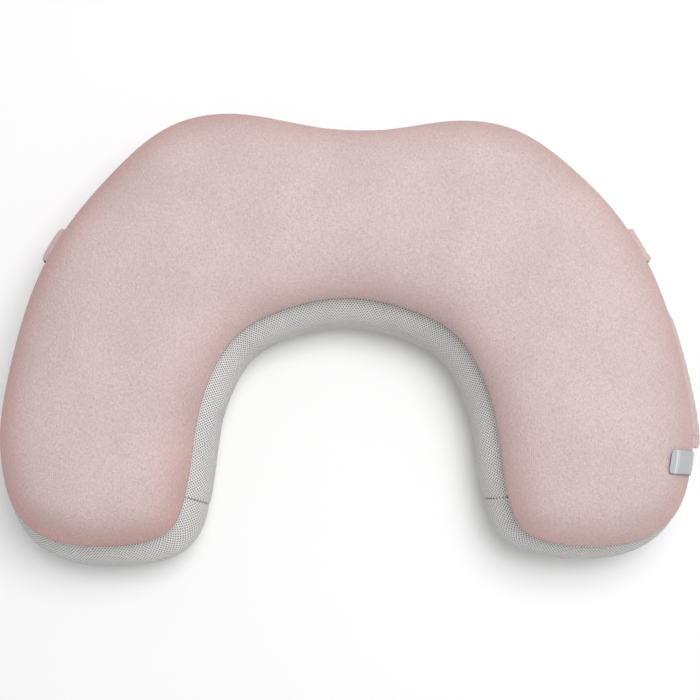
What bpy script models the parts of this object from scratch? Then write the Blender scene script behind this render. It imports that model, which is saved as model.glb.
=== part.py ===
"""Nursing pillow: a U-shaped cushion in a zipped cover, with a waist belt run through two loops.

Frame: metres, +Z up, +Y to the back of the U, the arms point along -Y, the plane X = 0 is the
plane of symmetry. The origin is on the flat underside, in the middle of the crown of the U.
"""
import math

import bmesh
import bpy
import numpy as np
from mathutils import Vector

# ---- Plan of the cover's widest outline, right half, from the back dip to the waist arch ----
SIDE_ARC_CENTRE = (0.0035, -0.1936)
SIDE_ARC_RADIUS = 0.3324
SIDE_ARC_DEGREES = (59, 46, 34, 22, 10)
BACK_POINTS = ((0.000, 0.0883), (0.0617, 0.0949), (0.1214, 0.1019))
ARM_POINTS = ((0.3385, -0.1778), (0.3425, -0.2252), (0.3374, -0.2651), (0.3247, -0.2994), (0.2933, -0.3261))
TIP_POINT = (0.2442, -0.3343)
WAIST_POINTS = ((0.2003, -0.3309), (0.1722, -0.3181), (0.1591, -0.2887), (0.1517, -0.2400),
                (0.1459, -0.2008), (0.1332, -0.1617), (0.1087, -0.1243), (0.0663, -0.1004), (0.000, -0.0873))
ARM_SIDE_X = ARM_POINTS[1][0]
SPLINE_STEPS = 40
CORNER_SHARE = 0.07

# ---- Heights ----
BASE_SEAM_Z = 0.0145
TOP_SEAM_Z = 0.096
EDGE_Z = 0.106
SEAM_GAP = 0.0003

# ---- Top panel: a rolled edge under a gentle crown ----
ROLL_WIDTH = 0.037
ROLL_HEIGHT = 0.026
CROWN_WIDTH = 0.095
CROWN_HEIGHT = 0.018
ROLL_DEGREES = (0, 22, 42, 60)
PANEL_THICKNESS = 0.002

# ---- Side wall, measured outwards from the widest outline ----
TOP_SEAM_OFFSET = -0.004
OUTER_FLARE = -0.001
OUTER_BULGE = 0.009
WAIST_FLARE = 0.0142
WAIST_BULGE = 0.0098
FLARE_BLEND_LENGTH = 0.16
WALL_THICKNESS = 0.0025
WALL_ROWS = 5
WALL_SEAM_POINT = (0.1585, -0.2865)
WALL_SEAM_STEPS = 5
WALL_SEAM_GAP = 0.0004

# ---- Base panel: a flat plate with a rolled-up rim ----
BASE_RIM_ROWS = ((0.014, 0.0), (0.005, 0.0035), (0.0012, 0.0085))
BASE_RIM_TOP_Z = 0.0142
BASE_THICKNESS = 0.002

# ---- Insert: a thin case, in two halves, round a foam core ----
CASE_INSET = 0.0042
CASE_THICKNESS = 0.0008
CASE_SPLIT_Z = 0.055
CORE_INSET = 0.0058
INSERT_ROLL_DEGREES = (0, 30, 60)
INSERT_FOOT_TUCK = 0.008
INSERT_FOOT_RISE = 0.0035
TUCK_DEPTH = 0.012
TUCK_HEIGHT = 0.05

# ---- Mesh density ----
SIDE_STEPS = 38
INNER_RIB_STEPS = 4

# ---- Zip: on a true arc about a vertical axis, at the left base seam ----
ZIP_CENTRE = (-SIDE_ARC_CENTRE[0], SIDE_ARC_CENTRE[1])
ZIP_RADIUS = SIDE_ARC_RADIUS + 0.0022
ZIP_FRONT_DEGREES = 171.5
ZIP_BACK_DEGREES = 120.5
ZIP_MIDDLE_Z = 0.020
ZIP_WEB_GAP = 0.0009
COIL_HEIGHT = 0.0015
COIL_DEPTH = 0.0022
TAPE_DEPTH = 0.0008
ZIP_STEPS = 32
ZIP_SLOT_TOP_Z = 0.0263
ZIP_SLOT_MARGIN = 0.001
ZIP_SLOT_RAMP = 0.005
STOP_LENGTH = 0.003
STOP_ROUNDING = 0.0004

# ---- Zip slider and puller ----
SLIDER_LENGTH = 0.012
SLIDER_HEIGHT = 0.0074
SLIDER_PLATE_GAP = 0.0004
SLIDER_PLATE = 0.0014
SLIDER_WEB = 0.0010
SLIDER_REST_ARC = 0.0095
CROWN_LENGTH = 0.0090
CROWN_DEPTH = 0.0036
CROWN_BAR = 0.0011
CROWN_SHOULDER = 0.0012
CROWN_WIDTH_Z = 0.0024
PULLER_LENGTH = 0.023
PULLER_WIDTH = 0.0066
PULLER_THICKNESS = 0.0011
PULLER_EYE_LENGTH = 0.0064
PULLER_EYE_WIDTH = 0.0034
PULLER_BAR = 0.0011
PULLER_END_DEGREES = 75
PULLER_END_POINTS = 9
PULLER_HOLE_RADIUS = 0.0013
PULLER_HOLE_SIDES = 12

# ---- Waist belt and its loops ----
BELT_LOW_Z = 0.042
BELT_HIGH_Z = 0.080
BELT_GAP = 0.0013
BELT_THICKNESS = 0.0018
BELT_ROWS = 4
BELT_STEP = 0.016
BELT_BRIDGE = 0.0062
BELT_BRIDGE_WIDTH = 0.11
LOOP_POSITION = (0.2934, -0.0309)
LOOP_LENGTH = 0.036
LOOP_THICKNESS = 0.0015
LOOP_PATH = ((-0.0018, 0.0930), (0.0050, 0.0895), (0.0115, 0.0825), (0.0139, 0.0740), (0.0144, 0.0600),
             (0.0134, 0.0460), (0.0096, 0.0375), (0.0047, 0.0300))
ROOT_CLEARANCE = 0.0015
BELT_END_RIGHT_Y = -0.2330
BELT_END_LEFT_LENGTH = 0.060
BELT_END_TOP_OFFSET = 0.0034
BELT_END_LOW_OFFSET = 0.0212
BELT_END_SPLAY_SHARE = 0.35
BELT_END_SPLAY = 0.74
BELT_CORNER = 0.012
BELT_CORNER_STEPS = (0.6, 0.3, 0.1, 0.0)
BELT_TIP_SHARE = 0.35
PATCH_LENGTH = 0.034
PATCH_LOW_Z = 0.049
PATCH_HIGH_Z = 0.073
PATCH_THICKNESS = 0.0010
PATCH_GAP = 0.0004
PATCH_INSET = 0.013

# ---- Labels ----
TAG_LOW_Y = -0.2690
TAG_HIGH_Y = -0.2450
TAG_GAP = 0.0007
TAG_THICKNESS = 0.0008
TAG_DEGREES = (0, 22, 42, 60, 73)
CARE_LABEL_X = -0.060
CARE_LABEL_LENGTH = 0.022
CARE_LABEL_THICKNESS = 0.0006
CARE_LABEL_PATH = ((0.0009, 0.0138), (0.0014, 0.0085), (0.0012, 0.0030))

PILLOW_PINK = (0.690, 0.560, 0.535)
MESH_GREY = (0.500, 0.490, 0.475)
LINING_WHITE = (0.800, 0.790, 0.770)
FOAM_CREAM = (0.820, 0.780, 0.680)
TAG_GREY = (0.480, 0.495, 0.510)
METAL_GREY = (0.620, 0.620, 0.630)
PATCH_GREY = (0.560, 0.555, 0.550)


# ---- Scene ----
def clear_scene():
    for item in list(bpy.data.objects):
        bpy.data.objects.remove(item, do_unlink=True)


def new_collection(name):
    group = bpy.data.collections.new(name)
    bpy.context.scene.collection.children.link(group)
    return group


def new_material(name, colour, roughness, metallic=0.0):
    material = bpy.data.materials.new(name)
    material.use_nodes = True
    shader = material.node_tree.nodes["Principled BSDF"]
    shader.inputs["Base Color"].default_value = (*colour, 1.0)
    shader.inputs["Roughness"].default_value = roughness
    shader.inputs["Metallic"].default_value = metallic
    return material


# ---- The outline as a smooth closed curve ----
def half_outline():
    """Right half from the back dip to the waist arch, and the index of the arm's tip."""
    arc = [(SIDE_ARC_CENTRE[0] + SIDE_ARC_RADIUS * math.cos(math.radians(angle)),
            SIDE_ARC_CENTRE[1] + SIDE_ARC_RADIUS * math.sin(math.radians(angle)))
           for angle in SIDE_ARC_DEGREES]
    points = [*BACK_POINTS, *arc, *ARM_POINTS, TIP_POINT, *WAIST_POINTS]
    return np.array(points), points.index(TIP_POINT)


def closed_knots():
    """All the outline's points, clockwise from the left arm's tip, and the right tip's index."""
    right, tip = half_outline()
    left = right * (-1, 1)
    knots = np.vstack([left[tip:0:-1], right, left[-2:tip:-1]])
    return knots, 2 * tip


def spline_bends(knots, lengths):
    """Second derivatives at the knots of the periodic cubic spline through them."""
    count = len(knots)
    system = np.zeros((count, count))
    target = np.zeros((count, 2))
    for i in range(count):
        before = (i - 1) % count
        after = (i + 1) % count
        system[i, before] += lengths[before]
        system[i, i] += 2 * (lengths[before] + lengths[i])
        system[i, after] += lengths[i]
        rise = (knots[after] - knots[i]) / lengths[i]
        run = (knots[i] - knots[before]) / lengths[before]
        target[i] = 6 * (rise - run)
    return np.linalg.solve(system, target)


def spline_span(start, end, start_bend, end_bend, length):
    """Points along one span of the spline, without its end point."""
    ahead = np.linspace(0, length, SPLINE_STEPS, endpoint=False)[:, None]
    left = length - ahead
    curve = (start_bend * left ** 3 + end_bend * ahead ** 3) / (6 * length)
    start_line = (start / length - start_bend * length / 6) * left
    end_line = (end / length - end_bend * length / 6) * ahead
    return curve + start_line + end_line


class Outline:
    """The cover's widest outline, looked up by arc length from the left arm's tip, clockwise."""

    def __init__(self):
        knots, right_tip = closed_knots()
        lengths = np.linalg.norm(np.roll(knots, -1, 0) - knots, axis=1)
        bends = spline_bends(knots, lengths)
        spans = [spline_span(knots[i], knots[(i + 1) % len(knots)], bends[i],
                             bends[(i + 1) % len(knots)], lengths[i]) for i in range(len(knots))]
        self.points = np.vstack([*spans, knots[:1]])
        steps = np.linalg.norm(np.diff(self.points, axis=0), axis=1)
        self.at = np.concatenate([[0], np.cumsum(steps)])
        self.length = self.at[-1]
        self.right_tip = self.at[right_tip * SPLINE_STEPS]
        self.tangents = self.find_tangents()

    def find_tangents(self):
        ring = self.points[:-1]
        chords = np.roll(ring, -1, 0) - np.roll(ring, 1, 0)
        chords /= np.linalg.norm(chords, axis=1)[:, None]
        return np.vstack([chords, chords[:1]])

    def look_up(self, table, s):
        place = s % self.length
        return np.array([np.interp(place, self.at, table[:, 0]), np.interp(place, self.at, table[:, 1])])

    def tangent(self, s):
        direction = self.look_up(self.tangents, s)
        return direction / np.linalg.norm(direction)

    def point(self, s, offset=0.0, z=0.0):
        """The point at arc length s, moved outwards by offset, at height z."""
        along = self.tangent(s)
        x, y = self.look_up(self.points, s) + offset * np.array([-along[1], along[0]])
        return Vector((x, y, z))

    def turning_measure(self):
        """A running length that counts tight bends for more, used to space samples."""
        angles = np.unwrap(np.arctan2(self.tangents[:, 1], self.tangents[:, 0]))
        turned = np.abs(np.diff(angles)) * CORNER_SHARE
        return np.concatenate([[0], np.cumsum(np.diff(self.at) + turned)])

    def samples(self, start, end, count):
        """count + 1 arc lengths from start to end, closer together where the outline bends."""
        measure = self.turning_measure()
        low = np.interp(start, self.at, measure)
        high = np.interp(end, self.at, measure)
        return np.interp(np.linspace(low, high, count + 1), measure, self.at)

    def ring(self):
        """Arc lengths round the whole outline, the same number on the outer and the waist side."""
        outer = self.samples(0, self.right_tip, SIDE_STEPS)
        waist = self.samples(self.right_tip, self.length, SIDE_STEPS)
        return np.concatenate([outer[:-1], waist[:-1]])

    def nearest(self, x, y):
        """Arc length of the outline's point closest to (x, y)."""
        gaps = np.hypot(self.points[:, 0] - x, self.points[:, 1] - y)
        return self.at[np.argmin(gaps)]

    def depth(self, x, y):
        """Distance from a point inside to the outline."""
        return float(np.min(np.hypot(self.points[:, 0] - x, self.points[:, 1] - y)))


OUTLINE = Outline()


# ---- Surfaces of the cover ----
def smooth_step(value):
    value = min(max(value, 0.0), 1.0)
    return value * value * (3 - 2 * value)


def waist_share(s):
    """1 round the tips and the waist side, 0 on the outer side and the back."""
    place = s % OUTLINE.length
    if place > OUTLINE.right_tip:
        return 1.0
    to_tip = min(place, OUTLINE.right_tip - place)
    return smooth_step(1 - to_tip / FLARE_BLEND_LENGTH)


def wall_offset(s, z):
    """How far the side wall stands out from the widest outline."""
    share = waist_share(s)
    flare = OUTER_FLARE + (WAIST_FLARE - OUTER_FLARE) * share
    bulge = OUTER_BULGE + (WAIST_BULGE - OUTER_BULGE) * share
    rise = (z - BASE_SEAM_Z) / (TOP_SEAM_Z - BASE_SEAM_Z)
    rise = min(max(rise, 0.0), 1.0)
    return flare * (1 - rise) + TOP_SEAM_OFFSET * rise + bulge * math.sin(math.pi * rise)


def crown_height(depth):
    reach = min(depth / CROWN_WIDTH, 1.0)
    return CROWN_HEIGHT * (1 - (1 - reach) ** 2)


def top_height(depth):
    """Height of the cover's top surface at a distance in from the outline."""
    reach = min(depth / ROLL_WIDTH, 1.0)
    return EDGE_Z + ROLL_HEIGHT * math.sqrt(1 - (1 - reach) ** 2) + crown_height(depth)


def roll_row(degrees, lift=0.0):
    """Offset and height on the rolled edge, lifted along its normal."""
    angle = math.radians(degrees)
    depth = ROLL_WIDTH * (1 - math.cos(angle))
    height = EDGE_Z + ROLL_HEIGHT * math.sin(angle) + crown_height(depth)
    return -depth + lift * math.cos(angle), height + lift * math.sin(angle)


def insert_offset(s, z, inset):
    """The insert's side, which tucks in towards its underside."""
    low = max(1 - z / TUCK_HEIGHT, 0.0)
    return wall_offset(s, z) - inset - TUCK_DEPTH * low * low


# ---- Mesh builders ----
def new_mesh_object(name, bm, material, group, smooth_angle=35):
    mesh = bpy.data.meshes.new(name)
    bm.to_mesh(mesh)
    bm.free()
    mesh.shade_smooth()
    mesh.set_sharp_from_angle(angle=math.radians(smooth_angle))
    item = bpy.data.objects.new(name, mesh)
    item.data.materials.append(material)
    group.objects.link(item)
    return item


def add_solidify(item, thickness, side):
    """Thicken a sheet: side -1 grows it inwards and 1 outwards."""
    shell = item.modifiers.new("Thickness", "SOLIDIFY")
    shell.thickness = thickness
    shell.offset = side


def join_rows(bm, rows, closed):
    """Quads between rows of vertices that run clockwise, from the lowest row upwards."""
    count = len(rows[0])
    spans = count if closed else count - 1
    for low, high in zip(rows, rows[1:]):
        for i in range(spans):
            after = (i + 1) % count
            bm.faces.new((low[i], high[i], high[after], low[after]))


def add_row(bm, places):
    return [bm.verts.new(place) for place in places]


def rib_points(start, end, steps, height):
    """The points between the two ends of a rib, each at the surface's own height."""
    points = []
    for step in range(1, steps):
        place = start.lerp(end, step / steps)
        points.append(Vector((place.x, place.y, height(place))))
    return points


def fill_with_ribs(bm, ring, steps, height, facing_up):
    """Close a U-shaped ring with ribs from its outer side to its waist side."""
    half = len(ring) // 2
    ribs = [[ring[0]] * (steps + 1)]
    for i in range(1, half):
        outer = ring[i]
        waist = ring[-i]
        middle = add_row(bm, rib_points(outer.co, waist.co, steps, height))
        ribs.append([outer, *middle, waist])
    ribs.append([ring[half]] * (steps + 1))
    for rib, following in zip(ribs, ribs[1:]):
        for k in range(steps):
            corners = [rib[k], rib[k + 1], following[k + 1], following[k]]
            corners = list(dict.fromkeys(corners))
            if not facing_up:
                corners.reverse()
            bm.faces.new(corners)


def ring_row(bm, offset_at, z):
    """One closed row round the outline. offset_at gives the offset at an arc length and height."""
    return add_row(bm, [OUTLINE.point(s, offset_at(s, z), z) for s in OUTLINE.ring()])


def strip_sheet(name, spots, path_at, material, group):
    """An open sheet: one row for each point of a path of (offset, z), repeated at each spot."""
    bm = bmesh.new()
    paths = [path_at(s) for s in spots]
    rows = []
    for k in range(len(paths[0])):
        rows.append(add_row(bm, [OUTLINE.point(s, *path[k]) for s, path in zip(spots, paths)]))
    join_rows(bm, rows, closed=False)
    return new_mesh_object(name, bm, material, group)


def spread(low, high, count):
    return [low + (high - low) * k / (count - 1) for k in range(count)]


# ---- Cover ----
def make_top_panel(material, group):
    bm = bmesh.new()
    seam = TOP_SEAM_Z + SEAM_GAP
    rows = [ring_row(bm, lambda s, z: TOP_SEAM_OFFSET, seam),
            ring_row(bm, lambda s, z: TOP_SEAM_OFFSET / 4, (seam + EDGE_Z) / 2)]
    for degrees in ROLL_DEGREES:
        offset, height = roll_row(degrees)
        rows.append(ring_row(bm, lambda s, z, offset=offset: offset, height))
    join_rows(bm, rows, closed=True)
    fill_with_ribs(bm, rows[-1], INNER_RIB_STEPS, lambda p: top_height(OUTLINE.depth(p.x, p.y)), True)
    panel = new_mesh_object("top_panel", bm, material, group)
    add_solidify(panel, PANEL_THICKNESS, -1)


def zip_slot_ends():
    """Arc lengths of the zip's front and back ends."""
    places = []
    for degrees in (ZIP_FRONT_DEGREES, ZIP_BACK_DEGREES):
        angle = math.radians(degrees)
        x = ZIP_CENTRE[0] + ZIP_RADIUS * math.cos(angle)
        y = ZIP_CENTRE[1] + ZIP_RADIUS * math.sin(angle)
        places.append(OUTLINE.nearest(x, y))
    return places


def slot_share(s):
    """1 along the zip, 0 away from it, with a short ramp at each end."""
    front, back = zip_slot_ends()
    past = max(front - s, s - back) - ZIP_SLOT_MARGIN
    return min(max(1 - past / ZIP_SLOT_RAMP, 0.0), 1.0)


def wall_path(s):
    """The side wall's section. Its lower edge is raised along the zip."""
    low = BASE_SEAM_Z + (ZIP_SLOT_TOP_Z - BASE_SEAM_Z) * slot_share(s)
    heights = spread(low, TOP_SEAM_Z, WALL_ROWS)
    return [(wall_offset(s, z), z) for z in heights]


def wall_seams():
    """Arc lengths of the two upright seams, on the waist side of the arm tips."""
    x, y = WALL_SEAM_POINT
    return OUTLINE.nearest(x, y), OUTLINE.nearest(-x, y)


def make_walls(material, group):
    right, left = wall_seams()
    gap = WALL_SEAM_GAP / 2
    waist_spots = OUTLINE.samples(right + gap, left - gap, SIDE_STEPS - 2 * WALL_SEAM_STEPS)
    first = OUTLINE.samples(left + gap, OUTLINE.length, WALL_SEAM_STEPS)
    middle = OUTLINE.samples(0, OUTLINE.right_tip, SIDE_STEPS)
    last = OUTLINE.samples(OUTLINE.right_tip, right - gap, WALL_SEAM_STEPS)
    zip_front, zip_back = zip_slot_ends()
    slot = [zip_front - ZIP_SLOT_MARGIN - ZIP_SLOT_RAMP, zip_front - ZIP_SLOT_MARGIN,
            zip_back + ZIP_SLOT_MARGIN, zip_back + ZIP_SLOT_MARGIN + ZIP_SLOT_RAMP]
    middle = np.sort(np.concatenate([middle, slot]))
    outer_spots = np.concatenate([first[:-1], middle[:-1], last])
    for name, spots in (("waist_wall", waist_spots), ("outer_wall", outer_spots)):
        wall = strip_sheet(name, spots, wall_path, material, group)
        add_solidify(wall, WALL_THICKNESS, -1)


def make_base_panel(material, group):
    bm = bmesh.new()
    rows = []
    for tuck, z in BASE_RIM_ROWS:
        rows.append(ring_row(bm, lambda s, z, tuck=tuck: wall_offset(s, BASE_SEAM_Z) - tuck, z))
    rows.append(ring_row(bm, lambda s, z: wall_offset(s, BASE_SEAM_Z), BASE_RIM_TOP_Z))
    join_rows(bm, rows, closed=True)
    fill_with_ribs(bm, rows[0], 1, lambda p: 0.0, False)
    panel = new_mesh_object("base_panel", bm, material, group)
    add_solidify(panel, BASE_THICKNESS, -1)


# ---- Insert ----
def insert_rows(bm, inset, heights):
    def side(s, z):
        return insert_offset(s, z, inset)
    return [ring_row(bm, side, z) for z in heights]


def insert_roof(bm, inset):
    """Rows over the rolled edge and the height rule of the roof inside them."""
    rows = []
    for degrees in INSERT_ROLL_DEGREES:
        offset, height = roll_row(degrees, -inset)
        rows.append(ring_row(bm, lambda s, z, offset=offset: offset, height))
    return rows, lambda p: top_height(OUTLINE.depth(p.x, p.y)) - inset


def insert_foot(bm, inset):
    """The lowest two rows, which round the insert off into its flat underside."""
    def foot(s, z):
        return insert_offset(s, 0.0, inset) - INSERT_FOOT_TUCK

    def ankle(s, z):
        return insert_offset(s, 0.0, inset)
    return [ring_row(bm, foot, inset), ring_row(bm, ankle, inset + INSERT_FOOT_RISE)]


def make_case_top(material, group):
    bm = bmesh.new()
    rows = insert_rows(bm, CASE_INSET, spread(CASE_SPLIT_Z, TOP_SEAM_Z, 3))
    roof, height = insert_roof(bm, CASE_INSET)
    rows += roof
    join_rows(bm, rows, closed=True)
    fill_with_ribs(bm, rows[-1], INNER_RIB_STEPS, height, True)
    case = new_mesh_object("insert_case_top", bm, material, group)
    add_solidify(case, CASE_THICKNESS, -1)


def make_case_base(material, group):
    bm = bmesh.new()
    rows = insert_foot(bm, CASE_INSET)
    rows += insert_rows(bm, CASE_INSET, spread(BASE_SEAM_Z, CASE_SPLIT_Z - SEAM_GAP, 3))
    join_rows(bm, rows, closed=True)
    fill_with_ribs(bm, rows[0], 1, lambda p: CASE_INSET, False)
    case = new_mesh_object("insert_case_base", bm, material, group)
    add_solidify(case, CASE_THICKNESS, -1)


def make_core(material, group):
    bm = bmesh.new()
    rows = insert_foot(bm, CORE_INSET)
    rows += insert_rows(bm, CORE_INSET, spread(BASE_SEAM_Z, TOP_SEAM_Z, 5))
    roof, height = insert_roof(bm, CORE_INSET)
    rows += roof
    join_rows(bm, rows, closed=True)
    fill_with_ribs(bm, rows[0], 1, lambda p: CORE_INSET, False)
    fill_with_ribs(bm, rows[-1], INNER_RIB_STEPS, height, True)
    new_mesh_object("foam_core", bm, material, group)


# ---- Zip ----
def arc_points(radius, start_degrees, end_degrees, steps):
    points = []
    for angle in spread(math.radians(start_degrees), math.radians(end_degrees), steps + 1):
        points.append((radius * math.cos(angle), radius * math.sin(angle)))
    return points


def flat_piece(name, outlines, half_height, material, group):
    """A flat outline, with any holes, made thick along its own Z."""
    curve = bpy.data.curves.new(name, "CURVE")
    curve.dimensions = "2D"
    curve.fill_mode = "BOTH"
    curve.extrude = half_height
    for points in outlines:
        spline = curve.splines.new("POLY")
        spline.points.add(len(points) - 1)
        for place, (x, y) in zip(spline.points, points):
            place.co = (x, y, 0, 1)
        spline.use_cyclic_u = True
    curve.materials.append(material)
    item = bpy.data.objects.new(name, curve)
    group.objects.link(item)
    return item


def zip_band(name, depth, low_z, high_z, ends, material, group):
    """A band that follows the zip's arc, between two angles."""
    outer = arc_points(ZIP_RADIUS + depth / 2, ends[0], ends[1], ZIP_STEPS)
    inner = arc_points(ZIP_RADIUS - depth / 2, ends[1], ends[0], ZIP_STEPS)
    band = flat_piece(name, [outer + inner], (high_z - low_z) / 2, material, group)
    band.location = (*ZIP_CENTRE, (low_z + high_z) / 2)


def make_zip_rows(tape_material, coil_material, group):
    coil_low = ZIP_MIDDLE_Z - ZIP_WEB_GAP - COIL_HEIGHT
    coil_high = ZIP_MIDDLE_Z + ZIP_WEB_GAP + COIL_HEIGHT
    ends = (ZIP_BACK_DEGREES, ZIP_FRONT_DEGREES)
    zip_band("zip_tape_lower", TAPE_DEPTH, BASE_SEAM_Z, coil_low - SEAM_GAP, ends, tape_material, group)
    zip_band("zip_tape_upper", TAPE_DEPTH, coil_high + SEAM_GAP, ZIP_SLOT_TOP_Z - SEAM_GAP, ends,
             tape_material, group)
    stop = math.degrees((STOP_LENGTH + SEAM_GAP) / ZIP_RADIUS)
    inner_ends = (ends[0] + stop, ends[1] - stop)
    zip_band("zip_coil_lower", COIL_DEPTH, coil_low, ZIP_MIDDLE_Z - ZIP_WEB_GAP, inner_ends,
             coil_material, group)
    zip_band("zip_coil_upper", COIL_DEPTH, ZIP_MIDDLE_Z + ZIP_WEB_GAP, coil_high, inner_ends,
             coil_material, group)


def zip_frame(degrees):
    """An empty on the zip's arc: X along the zip towards the back, Y outwards, Z up."""
    angle = math.radians(degrees)
    frame = bpy.data.objects.new("zip_frame", None)
    frame.location = (ZIP_CENTRE[0] + ZIP_RADIUS * math.cos(angle),
                      ZIP_CENTRE[1] + ZIP_RADIUS * math.sin(angle), ZIP_MIDDLE_Z)
    frame.rotation_euler = (0, 0, angle - math.pi / 2)
    bpy.context.scene.collection.objects.link(frame)
    return frame


def make_zip_stop(name, degrees, material, group):
    bm = bmesh.new()
    bmesh.ops.create_cube(bm, size=1.0)
    height = 2 * (ZIP_WEB_GAP + COIL_HEIGHT)
    bmesh.ops.scale(bm, vec=(STOP_LENGTH, COIL_DEPTH, height), verts=bm.verts)
    stop = new_mesh_object(name, bm, material, group)
    stop.parent = zip_frame(degrees)
    edge = stop.modifiers.new("Rounded edges", "BEVEL")
    edge.width = STOP_ROUNDING
    edge.segments = 1


def rectangle(low_x, low_y, high_x, high_y):
    return [(low_x, low_y), (high_x, low_y), (high_x, high_y), (low_x, high_y)]


def slider_section():
    """H section of the slider: outwards along X, up along Y. The web runs between the coils."""
    near = COIL_DEPTH / 2 + SLIDER_PLATE_GAP
    far = near + SLIDER_PLATE
    half = SLIDER_HEIGHT / 2
    web = SLIDER_WEB / 2
    return [(-far, -half), (-near, -half), (-near, -web), (near, -web), (near, -half), (far, -half),
            (far, half), (near, half), (near, web), (-near, web), (-near, half), (-far, half)]


def crown_section():
    """Arch that holds the puller: along the zip in X, outwards in Y."""
    half = CROWN_LENGTH / 2
    base = COIL_DEPTH / 2 + SLIDER_PLATE_GAP + SLIDER_PLATE / 2
    top = base + SLIDER_PLATE / 2 + CROWN_DEPTH
    shoulder = CROWN_SHOULDER
    outer = [(half, base), (half, top - shoulder), (half - shoulder, top),
             (shoulder - half, top), (-half, top - shoulder), (-half, base)]
    inset = CROWN_BAR
    inner = [(inset - half, base), (inset - half, top - shoulder), (shoulder - half, top - inset),
             (half - shoulder, top - inset), (half - inset, top - shoulder), (half - inset, base)]
    return outer + inner


def as_mesh(item, group):
    """Turn a curve object into a mesh object of the same name and place."""
    bpy.context.view_layer.update()
    graph = bpy.context.evaluated_depsgraph_get()
    mesh = bpy.data.meshes.new_from_object(item.evaluated_get(graph))
    bm = bmesh.new()
    bm.from_mesh(mesh)
    bmesh.ops.remove_doubles(bm, verts=bm.verts, dist=0.00001)
    bm.to_mesh(mesh)
    bm.free()
    name = item.name
    place = item.matrix_world.copy()
    bpy.data.objects.remove(item, do_unlink=True)
    solid = bpy.data.objects.new(name, mesh)
    solid.matrix_world = place
    group.objects.link(solid)
    return solid


def make_slider(degrees, material, group, cutters):
    frame = zip_frame(degrees)
    body = flat_piece("zip_slider", [slider_section()], SLIDER_LENGTH / 2, material, group)
    body.parent = frame
    body.rotation_euler = Vector((1, 0, 0)).to_track_quat("Z", "Y").to_euler()
    crown = flat_piece("slider_crown", [crown_section()], CROWN_WIDTH_Z / 2, material, cutters)
    crown.parent = frame
    body = as_mesh(body, group)
    crown = as_mesh(crown, cutters)
    crown.hide_render = True
    crown.display_type = "WIRE"
    union = body.modifiers.new("Crown", "BOOLEAN")
    union.operation = "UNION"
    union.object = crown


def puller_outline():
    """Tapered tab with a round end. Its hinge bar is centred on the origin."""
    half = PULLER_WIDTH / 2
    near = -PULLER_BAR / 2
    far = near + PULLER_LENGTH - half
    tab = [(near, -half), (far, -half)]
    for angle in spread(-PULLER_END_DEGREES, PULLER_END_DEGREES, PULLER_END_POINTS):
        turn = math.radians(angle)
        tab.append((far + half * math.cos(turn), half * math.sin(turn)))
    return [*tab, (far, half), (near, half)]


def puller_eye():
    half = PULLER_EYE_WIDTH / 2
    return rectangle(PULLER_BAR / 2, -half, PULLER_BAR / 2 + PULLER_EYE_LENGTH, half)


def puller_hole():
    """Round hole near the tab's free end."""
    centre = PULLER_LENGTH - PULLER_WIDTH / 2 - PULLER_BAR
    radius = PULLER_HOLE_RADIUS
    turns = spread(0, 2 * math.pi, PULLER_HOLE_SIDES + 1)[:-1]
    return [(centre + radius * math.cos(turn), radius * math.sin(turn)) for turn in turns]


def make_puller(degrees, material, group):
    frame = zip_frame(degrees)
    outlines = [puller_outline(), puller_eye(), puller_hole()]
    puller = flat_piece("zip_puller", outlines, PULLER_THICKNESS / 2, material, group)
    puller.parent = frame
    plate_face = COIL_DEPTH / 2 + SLIDER_PLATE_GAP + SLIDER_PLATE
    puller.location = (0, plate_face + (CROWN_DEPTH - CROWN_BAR) / 2, 0)
    puller.rotation_euler = (math.radians(90), 0, 0)


# ---- Belt ----
def belt_bridge(s):
    """How far the belt stands off the wall where it runs straight over the dip at the back."""
    x, y = OUTLINE.look_up(OUTLINE.points, s)
    if y < 0:
        return 0.0
    return BELT_BRIDGE * smooth_step(1 - abs(x) / BELT_BRIDGE_WIDTH)


def belt_offset(s, z):
    """Inner face of the belt where it lies on the wall."""
    return wall_offset(s, z) + BELT_GAP + belt_bridge(s)


def belt_heights(share=1.0):
    middle = (BELT_LOW_Z + BELT_HIGH_Z) / 2
    half = (BELT_HIGH_Z - BELT_LOW_Z) / 2 * share
    return spread(middle - half, middle + half, BELT_ROWS)


def belt_path(s):
    return [(belt_offset(s, z), z) for z in belt_heights()]


def loop_spots():
    """Arc lengths of the middle of the left and the right loop."""
    x, y = LOOP_POSITION
    return OUTLINE.nearest(-x, y), OUTLINE.nearest(x, y)


def even_spots(start, end):
    steps = max(round(abs(end - start) / BELT_STEP), 2)
    return spread(start, end, steps + 1)


def make_waist_belt(material, group):
    left, right = loop_spots()
    reach = LOOP_LENGTH / 2 + ROOT_CLEARANCE - SEAM_GAP
    belt = strip_sheet("waist_belt", even_spots(left - reach, right + reach), belt_path, material, group)
    add_solidify(belt, BELT_THICKNESS, 1)


def corner_share(to_end):
    """Share of the belt's width left at a distance from its rounded end."""
    if to_end >= BELT_CORNER:
        return 1.0
    reach = 1 - to_end / BELT_CORNER
    return BELT_TIP_SHARE + (1 - BELT_TIP_SHARE) * math.sqrt(1 - reach * reach)


def end_spots(root, tip):
    """Arc lengths along a belt end, closer together at its rounded corners."""
    way = 1 if tip > root else -1
    body = even_spots(root, tip - way * BELT_CORNER)
    corner = [tip - way * BELT_CORNER * share for share in BELT_CORNER_STEPS]
    return sorted(body + corner)


def right_end_limits():
    right = loop_spots()[1]
    root = right + LOOP_LENGTH / 2 + ROOT_CLEARANCE
    return root, OUTLINE.nearest(ARM_SIDE_X, BELT_END_RIGHT_Y)


def left_end_limits():
    left = loop_spots()[0]
    root = left - LOOP_LENGTH / 2 - ROOT_CLEARANCE
    return root, root - BELT_END_LEFT_LENGTH


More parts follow.
